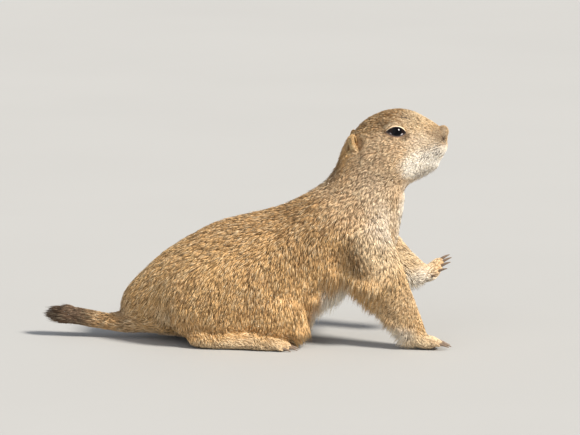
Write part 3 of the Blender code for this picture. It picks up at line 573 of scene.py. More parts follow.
def skin_surface():
    """The body's surface with no gaps between its parts, drawn in by the depth of the coat."""
    points, triangles, _ = solids_surface([name for name in frame["nodes"] if "claw" not in name])
    points = pushed_out(points, triangles, SWELL).astype(np.float32)
    steps = openvdb.createLinearTransform(VOXEL)
    make = openvdb.FloatGrid.createLevelSetFromPolygons
    whole = make(points, triangles=triangles.astype(np.uint32), transform=steps, halfWidth=3)
    shell, quads = voxel_faces(whole)
    whole = make(shell.astype(np.float32), quads=quads.astype(np.uint32), transform=steps, halfWidth=BAND)
    low, high = whole.evalActiveVoxelBoundingBox()
    depth = np.empty([h - l + 1 for l, h in zip(low, high)], np.float32)
    whole.copyToArray(depth, low)
    near = np.abs(depth) < (BAND - 0.5) * VOXEL
    places = (np.argwhere(near) + low) * VOXEL
    nose_hole = (1 - np.linalg.norm(on_nose(places) / (NOSE_RADII - 0.6), axis=1)) * 4.6
    places[:, 1] = np.abs(places[:, 1])
    drawn = table_at(places, {place: depth + SWELL for place, depth in SKIN_DEPTHS.items()})
    for place, radii, hollow in HOLLOWS:
        drawn += hollow * soft_blob(places, place, radii)
    depth[near] += drawn
    melted = depth.copy()
    for stride in (1, 2, 3, 4):
        melted = smoothed(melted, stride)
    depth = smoothed(depth, 1)
    melt = table_at(places, MELTED)
    depth[near] = np.maximum(depth[near] * (1 - melt) + melted[near] * melt, nose_hole)
    drawn_in = openvdb.FloatGrid(BAND * VOXEL)
    drawn_in.transform = steps
    drawn_in.copyFromArray(depth, low)
    return voxel_faces(drawn_in)


def table_at(places, table):
    """The number that a table of places gives at each place."""
    anchors = np.array([placed(place) for place in table])
    return blended(places, anchors, np.array([[value] for value in table.values()]))[:, 0]


def smoothed(grid, stride):
    """A grid of numbers, each drawn towards those at a stride from it."""
    for axis in range(3):
        grid = (np.roll(grid, stride, axis) + 2 * grid + np.roll(grid, -stride, axis)) / 4
    return grid


def eye_frame(side):
    """The eyeball's centre and radius in mm, and its outward, forward and upward axes."""
    low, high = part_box("eye_right" if side == RIGHT else "eye_left")
    centre = np.array(low + high) / 2 / MM
    radius = (high.z - low.z) / 2 / MM
    out = unit(np.array((EYE_AXIS[0], EYE_AXIS[1] * side, EYE_AXIS[2])))
    forward = unit(np.cross((0, 0, 1), out)) * -side
    up = np.cross(forward, out) * side
    return centre, radius, out, forward, up


def lid_opening(turn, wider=0.0):
    """Along and up of a point on the edge of the opened lids, in mm."""
    along = (LID_WIDTH + wider) * np.cos(turn)
    rise = (LID_HEIGHT + wider) * np.sin(turn) * (1 - 0.42 * np.abs(np.cos(turn)) ** 2.5)
    slope = math.radians(LID_SLOPE)
    return along * np.cos(slope) + rise * np.sin(slope), rise * np.cos(slope) - along * np.sin(slope)


def in_opening(points, side, room):
    """Which points lie before the eye, inside the lids' edge and some room."""
    centre, _, out, forward, up = eye_frame(side)
    offset = points - centre
    x, y = offset @ forward, offset @ up
    turn = np.arctan2(y / (LID_HEIGHT + room), x / (LID_WIDTH + room))
    edge_x, edge_y = lid_opening(turn, room)
    inside = np.hypot(x, y) < np.hypot(edge_x, edge_y)
    return inside & (offset @ out > 0)


def nostril_gap(rows):
    """The distance of places on the nose from the line of the nostril, and half its width there, in mm."""
    best, widths = np.full(len(rows), 1e9), np.zeros(len(rows))
    for (*start, wide), (*end, thin) in zip(NOSTRIL[:-1], NOSTRIL[1:]):
        start, end = np.array(start), np.array(end)
        share = np.clip((rows - start) @ (end - start) / ((end - start) @ (end - start)), 0, 1)
        gap = np.linalg.norm(rows - start - share[:, None] * (end - start), axis=1)
        nearer = gap < best
        best = np.where(nearer, gap, best)
        widths = np.where(nearer, wide + (thin - wide) * share, widths)
    return best, widths


def ear_frame(word, side):
    """The middle of an ear in mm, and its outward, forward and upward axes."""
    low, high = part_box(f"ear_{word}")
    middle = np.array(low + high) / 2 / MM
    out = unit(np.array((EAR_AXIS[0], EAR_AXIS[1] * side, EAR_AXIS[2])))
    up = np.array((-0.18, 0, 1.0))
    up = unit(up - out * (out @ up))
    return middle, out, np.cross(up, out) * -side, up


def nose_frame():
    """The middle of the nose in mm, and the directions ahead and up its tilted face."""
    low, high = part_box("nose")
    centre = np.array(low + high) / 2 / MM
    tilt = math.radians(NOSE_TILT)
    ahead = np.array((math.cos(tilt), 0, -math.sin(tilt)))
    up = np.array((math.sin(tilt), 0, math.cos(tilt)))
    return centre, ahead, up


def on_nose(points):
    """Each point's place ahead, across and up from the nose's middle, in mm."""
    centre, ahead, up = nose_frame()
    offset = points - centre
    return np.stack([offset @ ahead, np.abs(offset[:, 1]), offset @ up], axis=1)


def mouth_mask(points):
    """1 in the line between the lips, falling to 0 just beside it."""
    flat = points[:, [0, 2]]
    line = np.array(MOUTH_LINE) + PACKED_AT[[0, 2]]
    best = np.full(len(points), 1e9)
    for a, b in zip(line[:-1], line[1:]):
        share = np.clip(((flat - a) @ (b - a)) / ((b - a) @ (b - a)), 0, 1)
        best = np.minimum(best, np.linalg.norm(flat - a - share[:, None] * (b - a), axis=1))
    return np.exp(-((best / 0.75) ** 2))


# colours


def tinted(colour, strength):
    """A colour made darker or lighter."""
    return tuple(strength * part for part in colour)


class Value:
    """A number in a material's nodes, which adds Math nodes as it is reckoned with."""

    def __init__(self, paint, socket):
        self.paint = paint
        self.socket = socket

    def reckon(self, operation, first, second):
        return self.paint.number("ShaderNodeMath", {"operation": operation}, {0: first, 1: second})

    def __add__(self, other):
        return self.reckon("ADD", self, other)

    def __radd__(self, other):
        return self.reckon("ADD", other, self)

    def __sub__(self, other):
        return self.reckon("SUBTRACT", self, other)

    def __rsub__(self, other):
        return self.reckon("SUBTRACT", other, self)

    def __mul__(self, other):
        return self.reckon("MULTIPLY", self, other)

    def __rmul__(self, other):
        return self.reckon("MULTIPLY", other, self)


class Paint:
    """A new material and the nodes that are added to it."""

    def __init__(self, name, roughness, **uniform):
        self.material = bpy.data.materials.new(name)
        self.material.use_nodes = True
        self.tree = self.material.node_tree
        self.shader = self.tree.nodes["Principled BSDF"]
        self.shader.inputs["Roughness"].default_value = roughness
        for socket, value in uniform.items():
            self.shader.inputs[socket.replace("_", " ")].default_value = value

    def add(self, kind, settings, inputs):
        """A node of a kind, with its settings and then the values or links of its sockets."""
        node = self.tree.nodes.new(kind)
        for name, value in settings.items():
            setattr(node, name, value)
        for socket, value in inputs.items():
            if isinstance(value, Value):
                value = value.socket
            if isinstance(value, bpy.types.NodeSocket):
                self.tree.links.new(value, node.inputs[socket])
            else:
                node.inputs[socket].default_value = value
        return node

    def number(self, kind, settings, inputs, output=0):
        return Value(self, self.add(kind, settings, inputs).outputs[output])

    def attribute(self, name, output="Fac"):
        return Value(self, self.add("ShaderNodeAttribute", {"attribute_name": name}, {}).outputs[output])

    def place(self):
        return self.add("ShaderNodeTexCoord", {}, {}).outputs["Object"]

    def vector(self, operation, first, second=None, scale=None):
        inputs = {0: first}
        if second is not None:
            inputs[1] = second
        if scale is not None:
            inputs["Scale"] = scale
        return self.add("ShaderNodeVectorMath", {"operation": operation}, inputs).outputs[0]

    def mix(self, factor, first, second, blend="MIX"):
        """A colour between two, by the factor."""
        first, second = ((*c, 1) if isinstance(c, tuple) else c for c in (first, second))
        settings = {"data_type": "RGBA", "blend_type": blend}
        return self.add("ShaderNodeMix", settings, {0: factor, 6: first, 7: second}).outputs[2]

    def step(self, value, low, high):
        """0 under low, 1 over high, and smooth between. High may be the smaller."""
        inputs = {0: value, 1: min(low, high), 2: max(low, high), 3: float(low > high), 4: float(low < high)}
        return self.number("ShaderNodeMapRange", {"interpolation_type": "SMOOTHSTEP"}, inputs)

    def noise(self, place, size, detail=2.0, roughness=0.5):
        """Cloudy noise from 0 to 1 whose lumps are about the given size in mm."""
        inputs = {"Vector": place, "Scale": 1 / (size * MM), "Detail": detail, "Roughness": roughness}
        return self.number("ShaderNodeTexNoise", {}, inputs)

    def patch(self, place, centre, radii, soft):
        """1 inside a rounded patch of the body, centred in mm, and 0 outside."""
        centre = placed(centre) * MM
        offset = self.vector("SUBTRACT", place, tuple(centre))
        scaled = self.vector("DIVIDE", offset, tuple(r * MM for r in radii))
        length = self.add("ShaderNodeVectorMath", {"operation": "LENGTH"}, {0: scaled}).outputs["Value"]
        return self.step(length, 1 + soft, 1 - soft)

    def marked(self, colour, mark, place, colours):
        """The colour with one mark laid over it."""
        share = self.patch(place, mark.centre, mark.radii, mark.soft) * mark.share
        return self.mix(share, colour, colours[mark.colour])

    def both_sides(self, place):
        """The place, with the left side of the body laid over the right."""
        apart = self.add("ShaderNodeSeparateXYZ", {}, {0: place})
        across = self.number("ShaderNodeMath", {"operation": "ABSOLUTE"}, {0: apart.outputs[1]})
        inputs = {0: apart.outputs[0], 1: across, 2: apart.outputs[2]}
        return self.add("ShaderNodeCombineXYZ", {}, inputs).outputs[0]

    def finish(self, colour, bump=None, strength=0.3, distance=0.3):
        self.tree.links.new(colour, self.shader.inputs["Base Color"])
        if bump is not None:
            inputs = {"Height": bump, "Strength": strength, "Distance": distance * MM}
            normal = self.add("ShaderNodeBump", {}, inputs).outputs[0]
            self.tree.links.new(normal, self.shader.inputs["Normal"])
        return self.material


def markings(paint, place):
    """The coat's colour at a place on the body, with some painted shade and a painted highlight among its
    marks, the same for skin and coat.
    """
    coat = bpy.context.scene.prairie_dog_coat
    names = ("tan", "rust", "umber", "cream", "white", "sand", "orange", "soot")
    colours = {name: tuple(getattr(coat, name)) for name in names}
    colours["deep rust"] = tinted(coat.rust, 0.6)
    # "shoulder" is a painted shade, for the fold between the shoulder and the upper arm
    colours["shoulder"] = tinted(coat.rust, 0.45)
    colours["bone"] = tuple((a + b) / 2 for a, b in zip(coat.cream, coat.white))
    colours["dun"] = (0.40, 0.31, 0.22)
    colours["ochre"] = (0.84, 0.62, 0.30)
    wander = paint.noise(place, 9, 3.0)
    moved = paint.vector("ADD", place, paint.vector("SCALE", paint.noise(place, 6).socket, scale=0.004))
    mirrored = paint.both_sides(moved)
    colour = paint.mix(paint.step(wander, 0.35, 0.7) * 0.45, colours["tan"], colours["rust"])
    for mark in MARKS:
        colour = paint.marked(colour, mark, moved if mark.one_side else mirrored, colours)
    return paint.marked(colour, NOSTRIL_SHADE, paint.both_sides(place), colours)


def coat_material():
    """Tufts dark at the root and pale at the tip, with dark and straw ones scattered among them."""
    coat = bpy.context.scene.prairie_dog_coat
    paint = Paint("coat", 0.62, Specular_IOR_Level=0.35)
    root = paint.attribute("root", "Vector").socket
    along = paint.attribute("along")
    tone = paint.attribute("tone")
    colour = markings(paint, root)
    blue = paint.number("ShaderNodeSeparateColor", {}, {0: colour}, 2)
    dark = paint.step(tone, 0.36, 0.1) * (0.68 - 0.42 * paint.step(blue, 0.35, 0.7))
    colour = paint.mix(dark, colour, tuple(coat.umber))
    colour = paint.mix(paint.step(tone, 0.03, 0.01) * 0.8, colour, (0.05, 0.03, 0.02))
    pale = paint.step(tone, 0.56, 0.9) * (0.3 + 0.4 * paint.step(along, 0.3, 0.9))
    pale = pale * (0.3 + 0.7 * paint.step(blue, 0.05, 0.13))
    colour = paint.mix(pale, colour, tuple(coat.straw))
    # darker roots: the hairs' own dark bases, and painted shade between the tufts
    shade = paint.mix(paint.step(along, 0.0, 0.5), (0.46, 0.4, 0.35), (1, 1, 1))
    return paint.finish(paint.mix(1.0, colour, shade, "MULTIPLY"))


def skin_material():
    """Short dense underfur, darker than the tips of the coat."""
    paint = Paint("skin", 0.8, Specular_IOR_Level=0.2)
    place = paint.place()
    colour = markings(paint, place)
    grain = paint.noise(place, 0.8, 4.0, 0.7)
    # darker underfur, and painted shade under the coat
    shade = paint.mix(paint.step(grain, 0.3, 0.75), (0.45, 0.38, 0.33), (0.8, 0.72, 0.64))
    colour = paint.mix(1.0, colour, shade, "MULTIPLY")
    mouth = paint.attribute("mouth")
    colour = paint.mix(paint.step(mouth, 0.25, 0.7), colour, (0.05, 0.025, 0.02))
    return paint.finish(colour, grain, 0.5, 0.4)


def eye_material():
    face = bpy.context.scene.prairie_dog_face
    paint = Paint("eye", 0.04, IOR=1.3, Specular_IOR_Level=0.35)
    look = paint.attribute("look")
    streaks = paint.noise(paint.place(), 0.6, 3.0)
    iris = paint.mix(streaks, tuple(face.iris), tinted(face.iris, 2.2))
    colour = paint.mix(paint.step(look, 0.9, 0.93), iris, (0.002, 0.002, 0.0025))
    # painted reflections at the lower corners of the eye
    gleam = paint.attribute("gleam")
    return paint.finish(paint.mix(paint.step(gleam, 0.2, 0.8), colour, (0.42, 0.37, 0.37)))


def lid_material():
    """Dark wet margin, a pale rim, and the coat's own colour away from the eye."""
    coat = bpy.context.scene.prairie_dog_coat
    paint = Paint("lids", 0.55, Specular_IOR_Level=0.4)
    place = paint.place()
    out = paint.attribute("out")
    upper = paint.attribute("upper")
    colour = markings(paint, place)
    rim = paint.mix(paint.step(upper, 0.4, 0.75), (0.24, 0.15, 0.1), tuple(coat.cream))
    colour = paint.mix(paint.step(out, 0.34, 0.26), colour, rim)
    colour = paint.mix(paint.step(out, 0.15, 0.115), colour, (0.012, 0.007, 0.006))
    grain = paint.noise(place, 0.35, 3.0, 0.6)
    return paint.finish(colour, grain, 0.35, 0.15)


def nose_material():
    face = bpy.context.scene.prairie_dog_face
    paint = Paint("nose", 0.48, Specular_IOR_Level=0.5)
    place = paint.place()
    hollow = paint.attribute("hollow")
    cells = paint.number("ShaderNodeTexVoronoi", {"feature": "F1"}, {"Vector": place, "Scale": 2400.0})
    mottle = paint.noise(place, 1.6, 3.0)
    colour = paint.mix(paint.step(mottle, 0.3, 0.7), tuple(face.nose), tinted(face.nose, 0.72))
    colour = paint.mix(paint.step(hollow, 0.15, 0.6), colour, (0.05, 0.012, 0.01))
    return paint.finish(colour, cells, 0.35, 0.12)


def ear_material():
    face = bpy.context.scene.prairie_dog_face
    paint = Paint("ear", 0.7, Specular_IOR_Level=0.25)
    place = paint.place()
    inner = paint.attribute("inner")
    grain = paint.noise(place, 0.5, 3.0)
    colour = paint.mix(grain, tuple(face.ear), tinted(face.ear, 0.7))
    # painted shade in the ear's opening and in the slit behind the flap
    colour = paint.mix(paint.step(inner, 0.3, 0.85), colour, (0.07, 0.035, 0.022))
    return paint.finish(colour, grain, 0.4, 0.2)


def claw_material():
    face = bpy.context.scene.prairie_dog_face
    paint = Paint("claw", 0.32, Specular_IOR_Level=0.5)
    streak = paint.noise(paint.place(), 1.2, 3.0, 0.6)
    colour = paint.mix(streak, tinted(face.claw, 0.5), tinted(face.claw, 1.9))
    return paint.finish(colour, streak, 0.15, 0.1)


def whisker_material():
    paint = Paint("whisker", 0.4)
    along = paint.attribute("along")
    return paint.finish(paint.mix(along, (0.05, 0.035, 0.03), (0.30, 0.24, 0.19)))


# the coat


def lies():
    """Anchors of the coat on both sides of the body, and their values."""
    rows = list(RIGHT_FORELEG_LIES.values()) + list(LEFT_FORELEG_LIES.values())
    for lie in COAT_LIES.values():
        for side in (RIGHT, LEFT):
            x, y, z = lie.place
            dx, dy, dz = lie.heading
            rows.append(lie._replace(place=(x, y * side, z), heading=(dx, dy * side, dz)))
    anchors = np.array([placed(row.place) for row in rows])
    values = np.array([[*row.heading, *row[2:]] for row in rows])
    return anchors, values


def ripple(places, size, turn):
    """Smooth waves from -1 to 1 over the body, with no plain direction."""
    a, b, c = (places / size).T
    wave = np.sin(a + 1.7 * np.sin(b * 0.9 + turn)) + np.sin(1.3 * b + 1.1 * np.sin(c + 2 * turn))
    return (wave + np.sin(1.1 * c + 1.5 * np.sin(a * 0.8 + 3 * turn))) / 3


def scattered(points, triangles, per_area, draw):
    """Evenly scattered places on a surface: the triangle of each, and its corner weights."""
    a, b, c = (points[triangles[:, k]] for k in range(3))
    area = np.linalg.norm(np.cross(b - a, c - a), axis=1) / 2
    total = np.cumsum(area * per_area)
    count = int(total[-1])
    chosen = np.searchsorted(total, (np.arange(count) + draw.random(count)) * total[-1] / count)
    chosen = np.minimum(chosen, len(triangles) - 1)
    r, s = np.sqrt(draw.random(count)), draw.random(count)
    return chosen, np.stack([1 - r, r * (1 - s), r * s], axis=1)


def nearest_on(tree, places):
    """The nearest places on a surface, its outward direction there and the face."""
    found = np.empty((len(places), 3))
    facing = np.empty((len(places), 3))
    faces = np.empty(len(places), int)
    for k, place in enumerate(places.tolist()):
        spot, normal, face, _ = tree.find_nearest(place)
        found[k] = spot
        facing[k] = normal
        faces[k] = face
    return found, facing, faces


def tuft_mesh(tufts):
    """Points, triangles and the shares along and across for closed tufts of three sides."""
    roots, middles, tips, facing = tufts[:4]
    sideways = unit(np.cross(facing, tips - roots))
    out = unit(np.cross(tips - roots, sideways))
    out *= np.sign(dots(out, facing))
    half = sideways * tufts.widths[:, None] / 2
    ridge = out * tufts.widths[:, None] * 0.45
    corners = [
        roots - half * 0.9, roots + half * 0.9, roots + ridge * 0.8,
        middles - half, middles + half, middles + ridge,
        tips,
    ]
    points = np.stack(corners, axis=1).reshape(-1, 3)
    pattern = [(0, 2, 1)]
    for a, b in ((0, 1), (1, 2), (2, 0)):
        pattern += [(a, b, b + 3), (a, b + 3, a + 3), (a + 3, b + 3, 6)]
    firsts = np.arange(len(roots))[:, None, None] * TUFT_POINTS
    triangles = (firsts + np.array(pattern)[None]).reshape(-1, 3)
    along = np.tile(np.array([0, 0, 0, 0.5, 0.5, 0.5, 1.0]), len(roots))
    across = np.tile(np.array([0, 1, 0.5, 0, 1, 0.5, 0.5]), len(roots))
    return points, triangles, along, across


def set_attribute(mesh, name, values):
    """A number or a vector for each point, under a name that the materials read."""
    kind, field = ("FLOAT", "value") if np.ndim(values) == 1 else ("FLOAT_VECTOR", "vector")
    values = np.ascontiguousarray(values, np.float32).ravel()
    mesh.attributes.new(name, kind, "POINT").data.foreach_set(field, values)


def tuft_object(name, tufts, chart):
    """An object of tufts, with its bake map: a small patch for each tuft at its root's place."""
    points, triangles, along, across = tuft_mesh(tufts)
    obj = mesh_object(name, points, triangles)
    set_attribute(obj.data, "root", np.repeat(tufts.roots, TUFT_POINTS, axis=0) * MM)
    set_attribute(obj.data, "along", along)
    set_attribute(obj.data, "tone", np.repeat(tufts.tones, TUFT_POINTS))
    corners = np.repeat(chart, TUFT_POINTS, axis=0) + (np.stack([across, along], axis=1) - 0.5) * BAKE_PATCH
    corners = corners[triangles.ravel()].astype(np.float32).ravel()
    obj.data.uv_layers.new(name="OFBake").data.foreach_set("uv", corners)
    return obj


def chart_of(roots, start, end, side):
    """Each root's place on an unwrap of its piece of skin: along its axis, and round it."""
    start, end = placed((start[0], start[1] * side, start[2])), placed((end[0], end[1] * side, end[2]))
    axis = unit(end - start)
    up = unit(np.cross(np.cross(axis, (0, 0, 1)), axis))
    offset = roots - start
    turn = np.arctan2(offset @ np.cross(axis, up), offset @ up)
    chart = np.stack([offset @ axis, turn], axis=1)
    low, high = chart.min(0), chart.max(0)
    return 0.01 + 0.98 * (chart - low) / (high - low)


def in_nostril(points, room):
    """Which points lie in the line of a nostril, or within some room of it."""
    rows = on_nose(points)
    gap, width = nostril_gap(rows)
    return (gap < width + room) & (rows[:, 0] > -3)


def on_ears(points):
    """Each point's place ahead and up of the nearer ear's middle, and out from it, in mm."""
    places = np.zeros((len(points), 3))
    for side, word in SIDES:
        middle, out, ahead, up = ear_frame(word, side)
        offset = points - middle
        here = points[:, 1] * side > 0
        places[here] = np.stack([offset @ ahead, offset @ up, offset @ out], axis=1)[here]
    return places.T


def kept_clear(points, room):
    """Which points lie before an eye, in a nostril or in an ear's opening, or within some room of one."""
    found = in_opening(points, RIGHT, room) | in_opening(points, LEFT, room) | in_nostril(points, room)
    x, y, out = on_ears(points)
    return found | (np.hypot((x - 0.4) / (0.9 + room), (y - 0.6) / (3.6 + room)) < 1) & (abs(out) < EAR_DEEP)


def from_ear_middle(x, y):
    """How far a place on an ear's plane is from the ear's middle, with its edge at 1."""
    return np.hypot((x - EAR_MIDDLE[0]) / EAR_REACH[0], (y - EAR_MIDDLE[1]) / EAR_REACH[1])


def bare(roots, owners):
    """Which roots would grow where the body is bare, or where the ears or lids cover the skin."""
    found = in_opening(roots, RIGHT, 0.9) | in_opening(roots, LEFT, 0.9) | in_nostril(roots, 0.35)
    found |= (roots[:, 0] > MOUTH_BACK + 2) & (mouth_mask(roots) > 0.62)
    found |= roots[:, 2] < 1.0
    x, y, out = on_ears(roots)
    _, inner = pinna_height(x, y)
    under = (owners == BODIES.index("skin")) & (from_ear_middle(x, y) < 0.78) & (x < 1.0)
    return found | ((inner > 0.3) | under) & (abs(out) < EAR_DEEP)


def around_eyes(roots, flat):
    """The heading of the hair, turned so that it passes round the eyes and not over them."""
    for side in (RIGHT, LEFT):
        centre, _, out, _, _ = eye_frame(side)
        to_eye = centre - roots
        to_eye -= (to_eye @ out)[:, None] * out
        gap = np.linalg.norm(to_eye, axis=1, keepdims=True)
        here = ((roots - centre) @ out > 0)[:, None] * np.clip((10.5 - gap) / 2.5, 0, 1)
        toward = np.einsum("ij,ij->i", flat, to_eye)[:, None] / np.maximum(gap, 1)
        flat = unit(flat - here * np.clip(toward, 0, 1) * to_eye / np.maximum(gap, 1))
    return flat


class Tufts(NamedTuple):
    """The coat's tufts, row by row: places in mm, directions, sizes in mm and tone."""

    roots: np.ndarray
    middles: np.ndarray
    tips: np.ndarray
    facing: np.ndarray
    widths: np.ndarray
    tones: np.ndarray

    def only(self, rows):
        return Tufts(*(part[rows] for part in self))


def dots(first, second):
    """The dot product of each row of two lists, as a column."""
    return np.einsum("ij,ij->i", first, second)[:, None]


def leaders_of(roots, draw):
    """The tuft that leads the lock of each tuft."""
    leaders = draw.permutation(len(roots))[: len(roots) // LOCK]
    finder = KDTree(len(leaders))
    for k, leader in enumerate(leaders):
        finder.insert(roots[leader], k)
    finder.balance()
    return leaders[[finder.find(root)[1] for root in roots.tolist()]]


def tuft_sizes(value, vary, owners):
    """The length, width and height of each tuft in mm."""
    coat = bpy.context.scene.prairie_dog_coat
    lengths = value[:, 3] * coat.length * np.clip(1 + 0.16 * vary[:, 0], 0.6, 1.4)
    widths = value[:, 4] * np.clip(1 + 0.18 * vary[:, 1], 0.6, 1.5)
    heights = value[:, 5] * np.clip(0.8 + 0.25 * vary[:, 2], 0.25, 1.5)
    for word, longest, thickest in SHORT_HAIR:
        short = np.isin(owners, [k for k, name in enumerate(BODIES) if name.startswith(word)])
        lengths[short] = np.minimum(lengths[short], longest)
        heights[short] = np.minimum(heights[short], thickest)
        widths[short] *= 0.85
    return lengths, widths, heights


def laid(roots, facing, value, vary, leader, lengths, heights, tree):
    """The middle and tip of each tuft, along the body or standing off it as far as its place asks for."""
    heading, lift = value[:, :3], value[:, 7]
    stray = np.clip(vary[:, 5] - 1.2, 0, 1) * 0.12
    flat = unit(heading - dots(heading, facing) * facing)
    swing = np.radians(5 * vary[:, 3] + 6 * vary[leader, 3] + 6 * ripple(roots, 9.0, 1.0))[:, None]
    flat = unit(flat * np.cos(swing) + np.cross(facing, flat) * np.sin(swing))
    flat = around_eyes(roots, flat)
    ends, end_facing, _ = nearest_on(tree, roots + flat * lengths[:, None])
    middles, mid_facing, _ = nearest_on(tree, roots + flat * lengths[:, None] * 0.5)
    tips = ends + end_facing * (heights + stray * lengths)[:, None]
    middles = middles + mid_facing * heights[:, None] * 0.85
    sunk = np.minimum(dots(heading, facing), 0)
    free = unit(unit(heading) - sunk * facing + facing * (lift + stray)[:, None])
    loose = np.clip(lift * 3.5, 0, 1)[:, None]
    tips = tips * (1 - loose) + (roots + free * lengths[:, None]) * loose
    bow = unit(free + facing * 0.3)
    middles = middles * (1 - loose) + (roots + bow * lengths[:, None] * 0.52) * loose
    return middles, tips


def drawn_to_leader(middles, tips, leader, clump):
    """The middle and tip of each tuft, drawn towards the tip of the tuft that leads its lock."""
    pull = tips[leader] - tips
    pull *= (clump * np.clip(1 - np.linalg.norm(pull, axis=1) / 7, 0, 1))[:, None]
    return middles + pull * 0.35, tips + pull


def grow_coat(bodies):
    """Tufts over the skin, ears and nose, lying along the body and drawn together in small locks."""
    coat = bpy.context.scene.prairie_dog_coat
    draw = np.random.default_rng(coat.seed)
    points, normals, triangles, body_of = together([body.data for body in bodies])
    anchors, values = lies()
    per_area = blended(points[triangles].mean(1), anchors, values[:, 6:7])[:, 0] * coat.thickness
    chosen, weights = scattered(points, triangles, per_area, draw)
    corners = triangles[chosen]
    roots = np.einsum("ij,ijk->ik", weights, points[corners])
    facing = unit(np.einsum("ij,ijk->ik", weights, normals[corners]))
    owners = body_of[chosen]
    kept = ~bare(roots, owners)
    roots, facing, owners = roots[kept], facing[kept], owners[kept]

    leader = leaders_of(roots, draw)
    value = blended(roots, anchors, values)
    vary = draw.normal(size=(len(roots), 6))
    lengths, widths, heights = tuft_sizes(value, vary, owners)
    tree = BVHTree.FromPolygons(points.tolist(), triangles.tolist())
    middles, tips = laid(roots, facing, value, vary, leader, lengths, heights, tree)
    middles, tips = drawn_to_leader(middles, tips, leader, value[:, 8])
    roots = roots - facing * ROOT_DEPTH

    # tufts that would cross an eye, a nostril or the opening of an ear are cut short
    for _ in range(3):
        over = kept_clear(tips, 0.1) | kept_clear(middles, 0.1)
        tips[over] = roots[over] + (tips[over] - roots[over]) * 0.6
        middles[over] = roots[over] + (middles[over] - roots[over]) * 0.6
    for part, lowest in ((roots, 0.2), (middles, 0.3), (tips, 0.12)):
        part[:, 2] = np.maximum(part[:, 2], lowest)
    tones = np.clip(0.52 + 0.22 * vary[:, 4] + 0.13 * vary[leader, 4], 0.04, 1)
    for hair in whisker_roots():
        tones[np.linalg.norm(roots - hair[0], axis=1) < WHISKER_SPOT] = 0
    tufts = Tufts(roots, middles, tips, facing, widths, tones)
    return tufts.only(~kept_clear(tips, 0))


def coat_pieces(tufts):
    """An object of tufts for each part of the body and side."""
    names = [name for name in frame["nodes"] if "claw" not in name]
    solid, faces, owners = solids_surface(names)
    tree = BVHTree.FromPolygons(solid.tolist(), faces.tolist())
    _, _, nearest = nearest_on(tree, tufts.roots)
    owner = np.array(names)[owners[nearest]]
    made = []
    for word, (nodes, start, end) in COAT_PIECES.items():
        mine = np.array([name.startswith(nodes) for name in owner.tolist()])
        for side, side_word in SIDES:
            part = tufts.only(mine & (tufts.roots[:, 1] * side >= 0))
            made.append(tuft_object(f"coat_{word}_{side_word}", part, chart_of(part.roots, start, end, side)))
    return made


# operators


class PRAIRIEDOG_OT_skin(bpy.types.Operator):
    """Cover the whole body with one skin that lies under the tips of the coat"""

    bl_idname = "prairiedog.skin"
    bl_label = "Skin"

    def execute(self, context):
        points, quads = skin_surface()
        skin = mesh_object("skin", points, quads)
        thin = skin.modifiers.new("thin", "DECIMATE")
        thin.ratio = min(1.0, SKIN_TRIANGLES / (2 * len(quads)))
        thin.use_collapse_triangulate = True
        graph = context.evaluated_depsgraph_get()
        mesh = bpy.data.meshes.new_from_object(skin.evaluated_get(graph))
        skin.modifiers.clear()
        skin.data = mesh
        points, normals, _ = mesh_rows(mesh)
        gap, width = nostril_gap(on_nose(points))
        lips = mouth_mask(points) * (points[:, 0] > MOUTH_BACK)
        mouth = np.maximum(lips, np.exp(-((gap / (width + 0.35)) ** 4)))
        set_attribute(mesh, "mouth", mouth)
        points -= normals * mouth[:, None] * LIP_DEPTH
        mesh.vertices.foreach_set("co", (points * MM).ravel())
        mesh.update()
        mesh.polygons.foreach_set("use_smooth", np.ones(len(mesh.polygons), bool))
        kept = ("claw", "eye_", "eyelids", "nose", "ear_")
        nodes = (name for name in frame["nodes"] if not any(word in name for word in kept))
        dressed(skin, skin_material(), "coat", *nodes)
        return {"FINISHED"}


class PRAIRIEDOG_OT_coat(bpy.types.Operator):
    """Grow the coat in tufts over the skin, ears and nose, in the length and lie of the living animal's"""

    bl_idname = "prairiedog.coat"
    bl_label = "Coat"

    def execute(self, context):
        material = coat_material()
        for piece in coat_pieces(grow_coat([bpy.data.objects[name] for name in BODIES])):
            part = piece.name.removeprefix("coat_").rsplit("_", 1)[0]
            dressed(piece, material, PIECE_SLOTS.get(part, "coat"))
        return {"FINISHED"}


class PRAIRIEDOG_OT_eyes(bpy.types.Operator):
    """Set the wet, nearly black eyeballs in their sockets"""

    bl_idname = "prairiedog.eyes"
    bl_label = "Eyes"

    def execute(self, context):
        material = eye_material()
        rings, around = 97, 96
        polar, turn = (column[:, None] for column in round_grid(np.pi, rings, around))
        for side, word in SIDES:
            centre, radius, out, forward, up = eye_frame(side)
            level = np.sin(polar) * (np.cos(turn) * forward + np.sin(turn) * up)
            bulge = 1 + 0.035 * np.exp(-((polar / 0.62) ** 4))
            offset = radius * bulge * (np.cos(polar) * out + level)
            # a mask for the painted reflections at the lower corners of the eye
            gleam = np.zeros(len(offset))
            for x, y, slant in GLEAMS:
                slope = math.radians(slant)
                u, v = offset @ forward - x, offset @ up - y
                along = u * math.cos(slope) + v * math.sin(slope)
                across = v * math.cos(slope) - u * math.sin(slope)
                gleam += np.exp(-((along / 1.1) ** 2) - (across / 0.42) ** 2) * (offset @ out > 0)
            eye = mesh_object(f"eyeball_{word}", centre + offset, grid_faces(rings, around, True))
            eye.modifiers.new("weld", "WELD").merge_threshold = WELD
            set_attribute(eye.data, "look", np.cos(polar)[:, 0])
            set_attribute(eye.data, "gleam", gleam)
            dressed(eye, material, "eye", f"eye_{word}")
        return {"FINISHED"}


